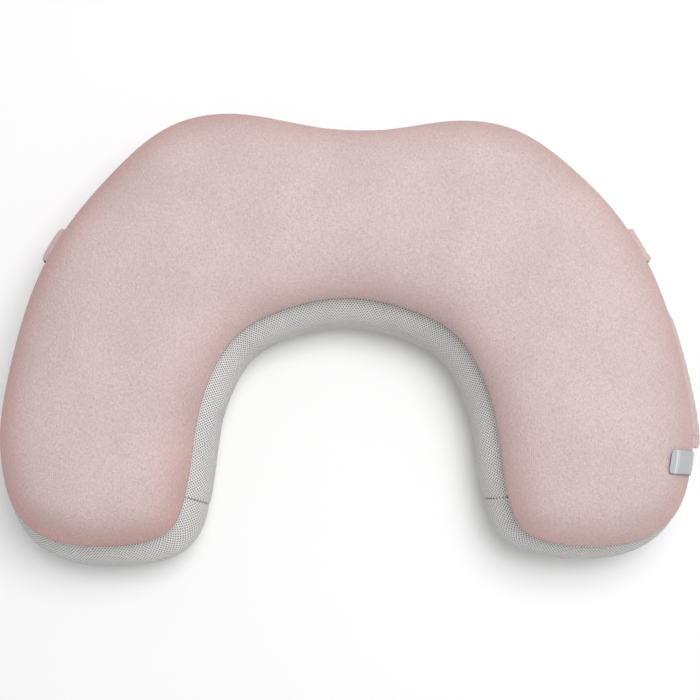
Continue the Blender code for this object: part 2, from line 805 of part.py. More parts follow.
def right_end_offset(s, z):
    """The long end leans out: its top edge stays by the wall, its low edge stands away from it."""
    root, tip = right_end_limits()
    along = min(max((s - root) / (tip - root), 0.0), 1.0)
    free = BELT_END_SPLAY * smooth_step(along / BELT_END_SPLAY_SHARE) + (1 - BELT_END_SPLAY) * along
    low_share = (BELT_HIGH_Z - z) / (BELT_HIGH_Z - BELT_LOW_Z)
    lean = BELT_END_TOP_OFFSET + (BELT_END_LOW_OFFSET - BELT_END_TOP_OFFSET) * low_share
    hug = belt_offset(s, z)
    return hug + (lean - hug) * free


def make_belt_ends(material, group):
    root, tip = right_end_limits()

    def right_path(s):
        return [(right_end_offset(s, z), z) for z in belt_heights(corner_share(tip - s))]
    right = strip_sheet("belt_end_right", end_spots(root, tip), right_path, material, group)
    add_solidify(right, BELT_THICKNESS, 1)
    root, tip = left_end_limits()

    def left_path(s):
        return [(belt_offset(s, z), z) for z in belt_heights(corner_share(s - left_end_limits()[1]))]
    left = strip_sheet("belt_end_left", end_spots(root, tip), left_path, material, group)
    add_solidify(left, BELT_THICKNESS, 1)


def make_patches(material, group):
    """Hook patch inside the long end and pile patch outside the short end."""
    tip = right_end_limits()[1]
    inner = PATCH_GAP + PATCH_THICKNESS

    def hook_path(s):
        return [(right_end_offset(s, z) - inner, z) for z in spread(PATCH_LOW_Z, PATCH_HIGH_Z, 3)]
    spots = even_spots(tip - PATCH_INSET - PATCH_LENGTH, tip - PATCH_INSET)
    hook = strip_sheet("hook_patch", spots, hook_path, material, group)
    add_solidify(hook, PATCH_THICKNESS, 1)
    tip = left_end_limits()[1]
    outer = BELT_THICKNESS + PATCH_GAP

    def pile_path(s):
        return [(belt_offset(s, z) + outer, z) for z in spread(PATCH_LOW_Z, PATCH_HIGH_Z, 3)]
    spots = even_spots(tip + PATCH_INSET, tip + PATCH_INSET + PATCH_LENGTH)
    pile = strip_sheet("pile_patch", spots, pile_path, material, group)
    add_solidify(pile, PATCH_THICKNESS, 1)


def make_loops(material, group):
    for name, middle in zip(("belt_loop_left", "belt_loop_right"), loop_spots()):
        spots = spread(middle - LOOP_LENGTH / 2, middle + LOOP_LENGTH / 2, 5)
        loop = strip_sheet(name, spots, lambda s: LOOP_PATH[::-1], material, group)
        add_solidify(loop, LOOP_THICKNESS, 1)


# ---- Labels ----
def make_side_tag(material, group):
    low = OUTLINE.nearest(ARM_SIDE_X, TAG_LOW_Y)
    high = OUTLINE.nearest(ARM_SIDE_X, TAG_HIGH_Y)
    path = [(TOP_SEAM_OFFSET / 4 + TAG_GAP, (TOP_SEAM_Z + EDGE_Z) / 2)]
    path += [roll_row(degrees, TAG_GAP) for degrees in TAG_DEGREES]
    tag = strip_sheet("side_tag", spread(high, low, 4), lambda s: path, material, group)
    add_solidify(tag, TAG_THICKNESS, 1)


def make_care_label(material, group):
    middle = OUTLINE.nearest(CARE_LABEL_X, BACK_POINTS[1][1])
    spots = spread(middle - CARE_LABEL_LENGTH / 2, middle + CARE_LABEL_LENGTH / 2, 3)
    path = [(OUTER_FLARE + offset, z) for offset, z in CARE_LABEL_PATH[::-1]]
    label = strip_sheet("care_label", spots, lambda s: path, material, group)
    add_solidify(label, CARE_LABEL_THICKNESS, 1)


# ---- The whole pillow ----
def make_cover(pink, pillow):
    grey_mesh = new_material("grey_spacer_mesh", MESH_GREY, 0.85)
    base_cloth = new_material("base_cloth", MESH_GREY, 0.9)
    make_top_panel(pink, pillow)
    make_walls(grey_mesh, pillow)
    make_base_panel(base_cloth, pillow)


def make_insert(pillow):
    lining = new_material("insert_lining", LINING_WHITE, 0.9)
    foam = new_material("foam", FOAM_CREAM, 0.95)
    make_case_top(lining, pillow)
    make_case_base(lining, pillow)
    make_core(foam, pillow)


def make_zip(pillow, cutters):
    tape = new_material("zip_tape", MESH_GREY, 0.85)
    coil = new_material("zip_coil", MESH_GREY, 0.45)
    metal = new_material("zip_metal", METAL_GREY, 0.35, 1.0)
    make_zip_rows(tape, coil, pillow)
    half_stop = math.degrees(STOP_LENGTH / 2 / ZIP_RADIUS)
    make_zip_stop("zip_stop_front", ZIP_FRONT_DEGREES - half_stop, metal, pillow)
    make_zip_stop("zip_stop_back", ZIP_BACK_DEGREES + half_stop, metal, pillow)
    rest = ZIP_FRONT_DEGREES - math.degrees(SLIDER_REST_ARC / ZIP_RADIUS)
    make_slider(rest, metal, pillow, cutters)
    make_puller(rest, metal, pillow)


def make_belt(pink, pillow):
    patch = new_material("hook_and_pile", PATCH_GREY, 0.95)
    make_waist_belt(pink, pillow)
    make_belt_ends(pink, pillow)
    make_patches(patch, pillow)
    make_loops(pink, pillow)


def make_labels(pillow):
    tag_cloth = new_material("tag_cloth", TAG_GREY, 0.6)
    label_cloth = new_material("label_cloth", LINING_WHITE, 0.7)
    make_side_tag(tag_cloth, pillow)
    make_care_label(label_cloth, pillow)


def main():
    clear_scene()
    pillow = new_collection("nursing_pillow")
    cutters = new_collection("cutters")
    pink = new_material("pink_knit", PILLOW_PINK, 0.9)
    make_cover(pink, pillow)
    make_insert(pillow)
    make_zip(pillow, cutters)
    make_belt(pink, pillow)
    make_labels(pillow)


main()
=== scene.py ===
"""Looks of the nursing pillow: knit top, spacer-mesh walls, waist belt, loops, tag, zip and studio.

Frame: metres, +Z up, +Y to the back of the U. The numbers of the plan and of the sections are the
part's own, repeated here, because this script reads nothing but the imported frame.
"""

import math

import bpy
import numpy as np
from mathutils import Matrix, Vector, noise


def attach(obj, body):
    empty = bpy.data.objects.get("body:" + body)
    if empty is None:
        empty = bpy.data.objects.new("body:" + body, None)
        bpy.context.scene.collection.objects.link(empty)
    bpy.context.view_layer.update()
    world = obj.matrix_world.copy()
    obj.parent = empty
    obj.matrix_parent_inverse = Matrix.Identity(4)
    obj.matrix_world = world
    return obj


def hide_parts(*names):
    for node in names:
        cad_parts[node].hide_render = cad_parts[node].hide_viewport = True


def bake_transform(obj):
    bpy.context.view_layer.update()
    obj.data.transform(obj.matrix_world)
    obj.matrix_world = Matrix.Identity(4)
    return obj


# ---- Plan of the cover's widest outline, right half, from the back dip to the waist arch ----
SIDE_ARC_CENTRE = (0.0035, -0.1936)
SIDE_ARC_RADIUS = 0.3324
SIDE_ARC_DEGREES = (59, 46, 34, 22, 10)
BACK_POINTS = ((0.000, 0.0883), (0.0617, 0.0949), (0.1214, 0.1019))
ARM_POINTS = ((0.3385, -0.1778), (0.3425, -0.2252), (0.3374, -0.2651), (0.3247, -0.2994), (0.2933, -0.3261))
TIP_POINT = (0.2442, -0.3343)
WAIST_POINTS = ((0.2003, -0.3309), (0.1722, -0.3181), (0.1591, -0.2887), (0.1517, -0.2400),
                (0.1459, -0.2008), (0.1332, -0.1617), (0.1087, -0.1243), (0.0663, -0.1004), (0.000, -0.0873))
ARM_SIDE_X = ARM_POINTS[1][0]
SPLINE_STEPS = 40
CORNER_SHARE = 0.07

# ---- Heights and sections of the cover ----
BASE_SEAM_Z = 0.0145
TOP_SEAM_Z = 0.096
EDGE_Z = 0.106
ROLL_WIDTH = 0.037
ROLL_HEIGHT = 0.026
CROWN_WIDTH = 0.095
CROWN_HEIGHT = 0.018
INNER_RING_DEGREES = 72
TOP_SEAM_OFFSET = -0.004
OUTER_FLARE = -0.001
OUTER_BULGE = 0.009
WAIST_FLARE = 0.0142
WAIST_BULGE = 0.0098
WAIST_FULLNESS = 0.0042
FLARE_BLEND_LENGTH = 0.16
WALL_SEAM_POINT = (0.1585, -0.2865)
TOP_SEAM_PATH = ((-0.0074, 0.0952), (-0.0056, 0.0960), (TOP_SEAM_OFFSET, 0.0966), (-0.0022, 0.0985),
                 (-0.0007, 0.1020))
SOLE_PATH = ((0.007, 0.0139), (0.0012, 0.0141), (0.0, 0.0132), (0.0003, 0.0105), (0.0012, 0.0068),
             (0.0032, 0.0034), (0.0065, 0.0010), (0.0105, 0.0002), (0.016, 0.0))
SEAM_TURN_IN = 0.006
SEAM_GROOVE = 0.0009
SEAM_GROOVE_WIDTH = 0.006
EDGE_GROOVE = 0.0005
EDGE_GROOVE_WIDTH = 0.003

# ---- How the filling has settled: the left shoulder sits a little further back than the right ----
SHOULDER_SHIFT = 0.0038
SHOULDER_DEPTH = 0.09
SHOULDER_BLEND = 0.06
DIP_DRAW_IN = 0.0014
DIP_HALF_WIDTH = 0.110
DIP_DEPTH = 0.08
DIP_RISE = 0.02
TIP_START_Y = -0.23
TIP_DEPTH = 0.09
LEFT_TIP_SPREAD = 0.0025
RIGHT_TIP_TUCK = 0.0100
TOP_LUMPS = ((0.0010, 0.085, 3), (0.0005, 0.035, 8))
WALL_LUMPS = ((0.0008, 0.045, 5), (0.0004, 0.018, 11))

# ---- Belt, loops and labels ----
BELT_LOW_Z = 0.042
BELT_HIGH_Z = 0.080
BELT_WIDTH = BELT_HIGH_Z - BELT_LOW_Z
BELT_MIDDLE_Z = (BELT_LOW_Z + BELT_HIGH_Z) / 2
HEM_RISE = 0.0005
HEM_WIDTH = 0.0070
HEM_STEP = 0.0015
BELT_GAP = 0.0013
BELT_THICKNESS = 0.0018
BELT_SHEET = BELT_THICKNESS - HEM_RISE
BELT_BRIDGE = 0.0044
BELT_BRIDGE_WIDTH = 0.11
LOOP_POSITION = (0.2934, -0.0309)
LOOP_LENGTH = 0.036
LOOP_THICKNESS = 0.0015
LOOP_PATH = ((-0.0018, 0.0930), (0.0050, 0.0895), (0.0115, 0.0825), (0.0139, 0.0740), (0.0144, 0.0600),
             (0.0134, 0.0460), (0.0096, 0.0375), (0.0047, 0.0300))
LOOP_SHAPES = {"left": (1.07, 0.55, 0.0002), "right": (0.94, 0.24, 0.0016)}
LOOP_DRAW_IN = 0.30
LOOP_STITCH_ROWS = (2, 5, 24, 27)
ROOT_CLEARANCE = 0.0015
BELT_END_RIGHT_Y = -0.2330
BELT_END_LEFT_LENGTH = 0.060
BELT_END_TOP_OFFSET = 0.0034
BELT_END_LOW_OFFSET = 0.0226
BELT_END_SPLAY_SHARE = 0.35
BELT_END_SPLAY = 0.74
BEND_OFFSET = 0.010
BELT_CORNER = 0.012
BELT_TIP_SHARE = 0.35
BELT_PUCKERS = 0.00025
LONG_END_PUCKERS = 0.00035
SHORT_END_PUCKERS = 0.0003
STITCH_PITCH = 0.0034
HEM_STITCH_INSET = 0.0028
PATCH_LENGTH = 0.034
PATCH_LOW_Z = 0.049
PATCH_HIGH_Z = 0.073
PATCH_THICKNESS = 0.0010
PATCH_GAP = 0.0004
PATCH_INSET = 0.013
TAG_LOW_Y = -0.2652
TAG_HIGH_Y = -0.2426
TAG_GAP = 0.0007
TAG_THICKNESS = 0.0006
TAG_CORNER = 0.004
TAG_COLUMNS = 15
TAG_ROOT_PATH = ((-0.0052, 0.0962), (-0.0030, 0.0968))
TAG_TOP_DEGREES = 76
TAG_STRIPES = ((-0.0070, 0.0010), (-0.0095, 0.0004))
CARE_LABEL_X = -0.060
CARE_LABEL_LENGTH = 0.022
CARE_LABEL_THICKNESS = 0.0006
CARE_LABEL_PATH = ((0.0012, 0.0030), (0.0014, 0.0085), (0.0009, 0.0138))

# ---- Zip ----
ZIP_CENTRE = (-SIDE_ARC_CENTRE[0], SIDE_ARC_CENTRE[1])
ZIP_RADIUS = SIDE_ARC_RADIUS + 0.0022
ZIP_FRONT_DEGREES = 171.5
ZIP_BACK_DEGREES = 120.5
ZIP_MIDDLE_Z = 0.020
ZIP_WEB_GAP = 0.0009
ZIP_SLOT_TOP_Z = 0.0263
ZIP_SLOT_MARGIN = 0.001
ZIP_SLOT_RAMP = 0.005
ZIP_HEM_Z = 0.030
COIL_HEIGHT = 0.0015
COIL_DEPTH = 0.0022
COIL_PITCH = 0.0016
COIL_WIRE = 0.0012
COIL_LEAN = 4.0
TAPE_DEPTH = 0.0008
TAPE_TURN = 0.002
STOP_LENGTH = 0.003

# ---- Insert ----
CASE_INSET = 0.0042
CASE_SPLIT_Z = 0.055
CORE_INSET = 0.0058
INSERT_EASE = 0.0030
INSERT_FOOT_TUCK = 0.008
TUCK_DEPTH = 0.012
TUCK_HEIGHT = 0.05

# ---- Mesh density ----
SIDE_STEPS = 170
RIB_STEPS = 34
COARSE_RIB_STEPS = 12
WALL_STEP = 0.0045
BELT_STEP = 0.002
TAPE_STEPS = 120
INSERT_STEPS = 90
CLOTH_FRAMES = 20

# ---- Camera and light ----
CAMERA_TARGET = (0.0035, -0.1400, 0.106)
CAMERA_DISTANCE = 1.30
CAMERA_TILT_DEGREES = 8.96
CAMERA_LENS = 66.86
SENSOR_WIDTH = 36.0

WORLD_STRENGTH = 0.58
OVERHEAD_PLACE = (0.48, 0.18, 2.3)
OVERHEAD_SIZE = 1.4
OVERHEAD_POWER = 42.0
OVERHEAD_TARGET = (0.0, -0.10, 0.1)
FLOOR_REACH = 6.0
FLOOR_GAP = 0.0006
FLOOR_TONES = (0.825, 0.835)

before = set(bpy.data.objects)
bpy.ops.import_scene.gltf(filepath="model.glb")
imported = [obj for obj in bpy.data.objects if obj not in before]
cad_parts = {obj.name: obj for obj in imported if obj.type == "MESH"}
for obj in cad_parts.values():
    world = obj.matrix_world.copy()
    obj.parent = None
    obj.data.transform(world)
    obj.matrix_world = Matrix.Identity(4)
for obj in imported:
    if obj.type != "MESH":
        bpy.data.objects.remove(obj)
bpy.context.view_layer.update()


# ---- Small helpers ----
def smooth_step(value):
    """Rises from 0 to 1 with a level start and end."""
    value = np.clip(value, 0.0, 1.0)
    return value * value * (3 - 2 * value)


def spread(low, high, count):
    """Evenly spaced values, both ends included."""
    return np.linspace(low, high, count)


def half_round(value):
    """Rises from 0 to 1 along a quarter circle."""
    value = np.clip(value, 0.0, 1.0)
    return np.sqrt(1 - (1 - value) ** 2)


def way_along(points):
    """Length along a line of points from its first to each of them."""
    steps = np.linalg.norm(np.diff(points, axis=0), axis=1)
    return np.concatenate([[0], np.cumsum(steps)])


# ---- The outline as a smooth closed curve ----
def half_outline():
    """Right half from the back dip to the waist arch, and the index of the arm's tip."""
    arc = [(SIDE_ARC_CENTRE[0] + SIDE_ARC_RADIUS * math.cos(math.radians(angle)),
            SIDE_ARC_CENTRE[1] + SIDE_ARC_RADIUS * math.sin(math.radians(angle)))
           for angle in SIDE_ARC_DEGREES]
    points = [*BACK_POINTS, *arc, *ARM_POINTS, TIP_POINT, *WAIST_POINTS]
    return np.array(points), points.index(TIP_POINT)


def closed_knots():
    """All the outline's points, clockwise from the left arm's tip, and the right tip's index."""
    right, tip = half_outline()
    left = right * (-1, 1)
    knots = np.vstack([left[tip:0:-1], right, left[-2:tip:-1]])
    return knots, 2 * tip


def spline_bends(knots, lengths):
    """Second derivatives at the knots of the periodic cubic spline through them."""
    count = len(knots)
    system = np.zeros((count, count))
    target = np.zeros((count, 2))
    for i in range(count):
        before = (i - 1) % count
        after = (i + 1) % count
        system[i, before] += lengths[before]
        system[i, i] += 2 * (lengths[before] + lengths[i])
        system[i, after] += lengths[i]
        rise = (knots[after] - knots[i]) / lengths[i]
        run = (knots[i] - knots[before]) / lengths[before]
        target[i] = 6 * (rise - run)
    return np.linalg.solve(system, target)


def spline_span(start, end, start_bend, end_bend, length):
    """Points along one span of the spline, without its end point."""
    ahead = np.linspace(0, length, SPLINE_STEPS, endpoint=False)[:, None]
    left = length - ahead
    curve = (start_bend * left ** 3 + end_bend * ahead ** 3) / (6 * length)
    start_line = (start / length - start_bend * length / 6) * left
    end_line = (end / length - end_bend * length / 6) * ahead
    return curve + start_line + end_line


class Outline:
    """The cover's widest outline, looked up by arc length from the left arm's tip, clockwise."""

    def __init__(self):
        knots, right_tip = closed_knots()
        lengths = np.linalg.norm(np.roll(knots, -1, 0) - knots, axis=1)
        bends = spline_bends(knots, lengths)
        spans = [spline_span(knots[i], knots[(i + 1) % len(knots)], bends[i],
                             bends[(i + 1) % len(knots)], lengths[i]) for i in range(len(knots))]
        self.points = np.vstack([*spans, knots[:1]])
        self.at = way_along(self.points)
        self.length = self.at[-1]
        self.right_tip = self.at[right_tip * SPLINE_STEPS]
        ring = self.points[:-1]
        chords = np.roll(ring, -1, 0) - np.roll(ring, 1, 0)
        chords /= np.linalg.norm(chords, axis=1)[:, None]
        self.tangents = np.vstack([chords, chords[:1]])

    def look_up(self, table, s):
        """The row of a table of plan vectors at each arc length."""
        place = np.asarray(s, float) % self.length
        return np.stack([np.interp(place, self.at, table[:, k]) for k in range(2)], axis=-1)

    def place(self, s, offset, z):
        """Points at arc lengths s, moved outwards by offset, at heights z, as an array."""
        s, offset, z = np.broadcast_arrays(np.asarray(s, float), offset, z)
        along = self.look_up(self.tangents, s)
        along /= np.linalg.norm(along, axis=-1, keepdims=True)
        flat = self.look_up(self.points, s)
        x = flat[..., 0] - offset * along[..., 1]
        y = flat[..., 1] + offset * along[..., 0]
        return np.stack([x, y, z], axis=-1)

    def samples(self, start, end, count):
        """count + 1 arc lengths from start to end, closer together where the outline bends."""
        angles = np.unwrap(np.arctan2(self.tangents[:, 1], self.tangents[:, 0]))
        turned = np.abs(np.diff(angles)) * CORNER_SHARE
        measure = np.concatenate([[0], np.cumsum(np.diff(self.at) + turned)])
        low = np.interp(start, self.at, measure)
        high = np.interp(end, self.at, measure)
        return np.interp(np.linspace(low, high, count + 1), measure, self.at)

    def ring(self, side_steps):
        """Arc lengths round the whole outline, the same number on the outer and the waist side."""
        outer = self.samples(0, self.right_tip, side_steps)
        waist = self.samples(self.right_tip, self.length, side_steps)
        return np.concatenate([outer[:-1], waist[:-1]])

    def nearest(self, x, y):
        """Arc length of the outline's point nearest to a place in the plan."""
        gaps = np.hypot(self.points[:, 0] - x, self.points[:, 1] - y)
        return self.at[np.argmin(gaps)]

    def depth(self, x, y):
        """Distance from points inside to the outline."""
        near = self.points[::4]
        gaps = np.hypot(near[:, 0] - np.reshape(x, (-1, 1)), near[:, 1] - np.reshape(y, (-1, 1)))
        return gaps.min(axis=1).reshape(np.shape(x))


OUTLINE = Outline()


# ---- Surfaces of the cover ----
def waist_share(s):
    """1 round the tips and the waist side, 0 on the outer side and the back."""
    place = np.asarray(s, float) % OUTLINE.length
    to_tip = np.minimum(place, OUTLINE.right_tip - place)
    return np.where(place > OUTLINE.right_tip, 1.0, smooth_step(1 - to_tip / FLARE_BLEND_LENGTH))


def wall_offset(s, z):
    """How far the side wall stands out from the widest outline."""
    share = waist_share(s)
    flare = OUTER_FLARE + (WAIST_FLARE - OUTER_FLARE) * share
    bulge = OUTER_BULGE + (WAIST_BULGE - OUTER_BULGE) * share
    rise = np.clip((z - BASE_SEAM_Z) / (TOP_SEAM_Z - BASE_SEAM_Z), 0, 1)
    return flare * (1 - rise) + TOP_SEAM_OFFSET * rise + bulge * np.sin(np.pi * rise)


def waist_fullness(s, z):
    """The filling pushes the waist side's mesh out just below its top seam."""
    rise = np.clip((z - BASE_SEAM_Z) / (TOP_SEAM_Z - BASE_SEAM_Z), 0, 1)
    return WAIST_FULLNESS * waist_share(s) * np.sin(np.pi * rise ** 2.2)


def crown_height(depth):
    """How far the crown rises above the rolled edge."""
    reach = np.minimum(depth / CROWN_WIDTH, 1.0)
    return CROWN_HEIGHT * (1 - (1 - reach) ** 2)


def top_height(depth):
    """Height of the cover's top surface at a distance in from the outline."""
    return EDGE_Z + ROLL_HEIGHT * half_round(depth / ROLL_WIDTH) + crown_height(depth)


def roll_row(degrees, lift=0.0):
    """Offset and height on the rolled edge, lifted along its normal."""
    angle = math.radians(degrees)
    depth = ROLL_WIDTH * (1 - math.cos(angle))
    height = EDGE_Z + ROLL_HEIGHT * math.sin(angle) + crown_height(depth)
    return -depth + lift * math.cos(angle), height + lift * math.sin(angle)


def settle(places):
    """Move points as the filling has settled: the shoulders above the base seam, the tips below it."""
    moved = np.array(places, float)
    x, y, z = moved[..., 0], moved[..., 1], moved[..., 2]
    high = smooth_step((z - BASE_SEAM_Z) / (EDGE_Z - BASE_SEAM_Z))
    back = smooth_step(y / SHOULDER_DEPTH)
    shoulder = -SHOULDER_SHIFT * np.tanh(x / SHOULDER_BLEND) * back * high
    front = smooth_step((TIP_START_Y - y) / TIP_DEPTH)
    tip = np.where(x < 0, -LEFT_TIP_SPREAD, RIGHT_TIP_TUCK) * front * (1 - high)
    rim = smooth_step((z - BELT_HIGH_Z) / DIP_RISE) * (y > 0)
    middle = smooth_step(1 - np.abs(x) / DIP_HALF_WIDTH) * smooth_step(y / DIP_DEPTH)
    dip = -DIP_DRAW_IN * middle * rim
    moved[..., 1] = y + shoulder + tip + dip
    return moved


def unevenness(places, size, seed):
    """Soft random swell from -1 to 1 at each point, with lumps of the given size."""
    shift = Vector((seed, 2.0 * seed, 3.0 * seed))
    flat = np.reshape(places, (-1, 3)) / size
    found = [noise.noise(Vector(place) + shift) for place in flat.tolist()]
    return np.reshape(found, np.shape(places)[:-1])


# ---- Mesh builders ----
def mesh_object(name, places, faces, uvs=None, material=None, smooth_angle=40):
    """A mesh from points and faces. uvs holds one (u, v) for each corner, in metres."""
    mesh = bpy.data.meshes.new(name)
    mesh.from_pydata(np.reshape(places, (-1, 3)).tolist(), [], faces)
    if uvs is not None:
        layer = mesh.uv_layers.new(name="cloth")
        layer.data.foreach_set("uv", np.asarray(uvs, np.float32).ravel())
    mesh.validate()
    mesh.shade_smooth()
    mesh.set_sharp_from_angle(angle=math.radians(smooth_angle))
    item = bpy.data.objects.new(name, mesh)
    bpy.context.scene.collection.objects.link(item)
    if material is not None:
        mesh.materials.append(material)
    return item


def grid_faces(rows, columns, closed=False, first=0):
    """Quads of a grid whose rows run clockwise and rise, as corner index tuples and grid places."""
    faces = []
    spots = []
    spans = columns if closed else columns - 1
    for r in range(rows - 1):
        for c in range(spans):
            after = (c + 1) % columns
            low = first + r * columns
            high = low + columns
            faces.append((low + c, high + c, high + after, low + after))
            spots.append(((r, c), (r + 1, c), (r + 1, c + 1), (r, c + 1)))
    return faces, spots


def strip(name, spots, profile, material, settled=True):
    """An open sheet. profile(s) gives arrays of offset and height, one for each row, at the arc lengths."""
    offsets, heights = profile(spots)
    places = OUTLINE.place(spots[None, :], offsets, heights)
    if settled:
        places = settle(places)
    rows, columns = offsets.shape
    faces, grid = grid_faces(rows, columns)
    rise = np.hypot(np.diff(offsets, axis=0), np.diff(heights, axis=0))
    below_top = np.vstack([np.cumsum(rise[::-1], axis=0)[::-1], np.zeros((1, columns))])
    uvs = [(spots[c], -below_top[r, c]) for spot in grid for r, c in spot]
    return mesh_object(name, places, faces, uvs, material)


def evaluated(item):
    """Apply an object's modifiers to its mesh."""
    graph = bpy.context.evaluated_depsgraph_get()
    mesh = bpy.data.meshes.new_from_object(item.evaluated_get(graph))
    old = item.data
    item.modifiers.clear()
    item.data = mesh
    bpy.data.meshes.remove(old)
    mesh.name = item.name


def subdivide(item, levels=1):
    """Apply a subdivision surface."""
    finer = item.modifiers.new("Subdivision", "SUBSURF")
    finer.levels = levels
    finer.render_levels = levels
    evaluated(item)
    item.data.shade_smooth()


def thicken(item, thickness, rim=0.0004):
    """Give a strip its thickness, outwards, with softened edges."""
    shell = item.modifiers.new("Thickness", "SOLIDIFY")
    shell.thickness = thickness
    shell.offset = 1
    edge = item.modifiers.new("Soft edge", "BEVEL")
    edge.width = rim
    edge.segments = 2
    edge.limit_method = "ANGLE"
    evaluated(item)
    item.data.shade_smooth()


def points_of(item):
    """The places of an object's vertices, as an array."""
    flat = np.empty(3 * len(item.data.vertices), np.float32)
    item.data.vertices.foreach_get("co", flat)
    return flat.reshape(-1, 3).astype(float)


def set_points(item, places):
    """Move an object's vertices to these places."""
    item.data.vertices.foreach_set("co", np.asarray(places, np.float32).ravel())
    item.data.update()


def normals_of(item):
    """The normals at an object's vertices, as an array."""
    flat = np.empty(3 * len(item.data.vertices), np.float32)
    item.data.vertex_normals.foreach_get("vector", flat)
    return flat.reshape(-1, 3).astype(float)


def swell(item, pinned, pressure, cap):
    """Blow a sheet up against its sewn edges with a cloth simulation, moving no point further than cap."""
    start = points_of(item)
    group = item.vertex_groups.new(name="sewn")
    group.add([int(i) for i in pinned], 1.0, "REPLACE")
    cloth = item.modifiers.new("Cloth", "CLOTH")
    settings = cloth.settings
    settings.quality = 6
    settings.mass = 0.3
    settings.tension_stiffness = 20
    settings.compression_stiffness = 20
    settings.shear_stiffness = 8
    settings.bending_stiffness = 0.8
    settings.vertex_group_mass = "sewn"
    settings.use_pressure = True
    settings.uniform_pressure_force = pressure
    settings.effector_weights.gravity = 0
    cloth.collision_settings.use_collision = False
    cloth.point_cache.frame_start = 1
    cloth.point_cache.frame_end = CLOTH_FRAMES
    scene = bpy.context.scene
    for step in range(1, CLOTH_FRAMES + 1):
        scene.frame_set(step)
    graph = bpy.context.evaluated_depsgraph_get()
    blown = item.evaluated_get(graph).data
    end = np.empty(3 * len(blown.vertices), np.float32)
    blown.vertices.foreach_get("co", end)
    item.modifiers.clear()
    item.vertex_groups.clear()
    scene.frame_set(1)
    move = end.reshape(-1, 3).astype(float) - start
    length = np.linalg.norm(move, axis=1, keepdims=True)
    print(item.name, "moved up to", round(float(length.max()) * 1000, 1), "mm")
    share = np.minimum(1.0, cap * np.tanh(length / cap) / np.maximum(length, 1e-9))
    set_points(item, start + move * share)


def smooth_points(item, free, rounds):
    """Even out a mesh by moving each free point towards the mean of its neighbours."""
    edges = np.array([edge.vertices[:] for edge in item.data.edges])
    places = points_of(item)
    count = np.bincount(edges.ravel(), minlength=len(places))[:, None]
    weight = np.zeros(len(places))
    weight[free] = 0.5
    for _ in range(rounds):
        total = np.zeros_like(places)
        np.add.at(total, edges[:, 0], places[edges[:, 1]])
        np.add.at(total, edges[:, 1], places[edges[:, 0]])
        places += weight[:, None] * (total / count - places)
    set_points(item, places)


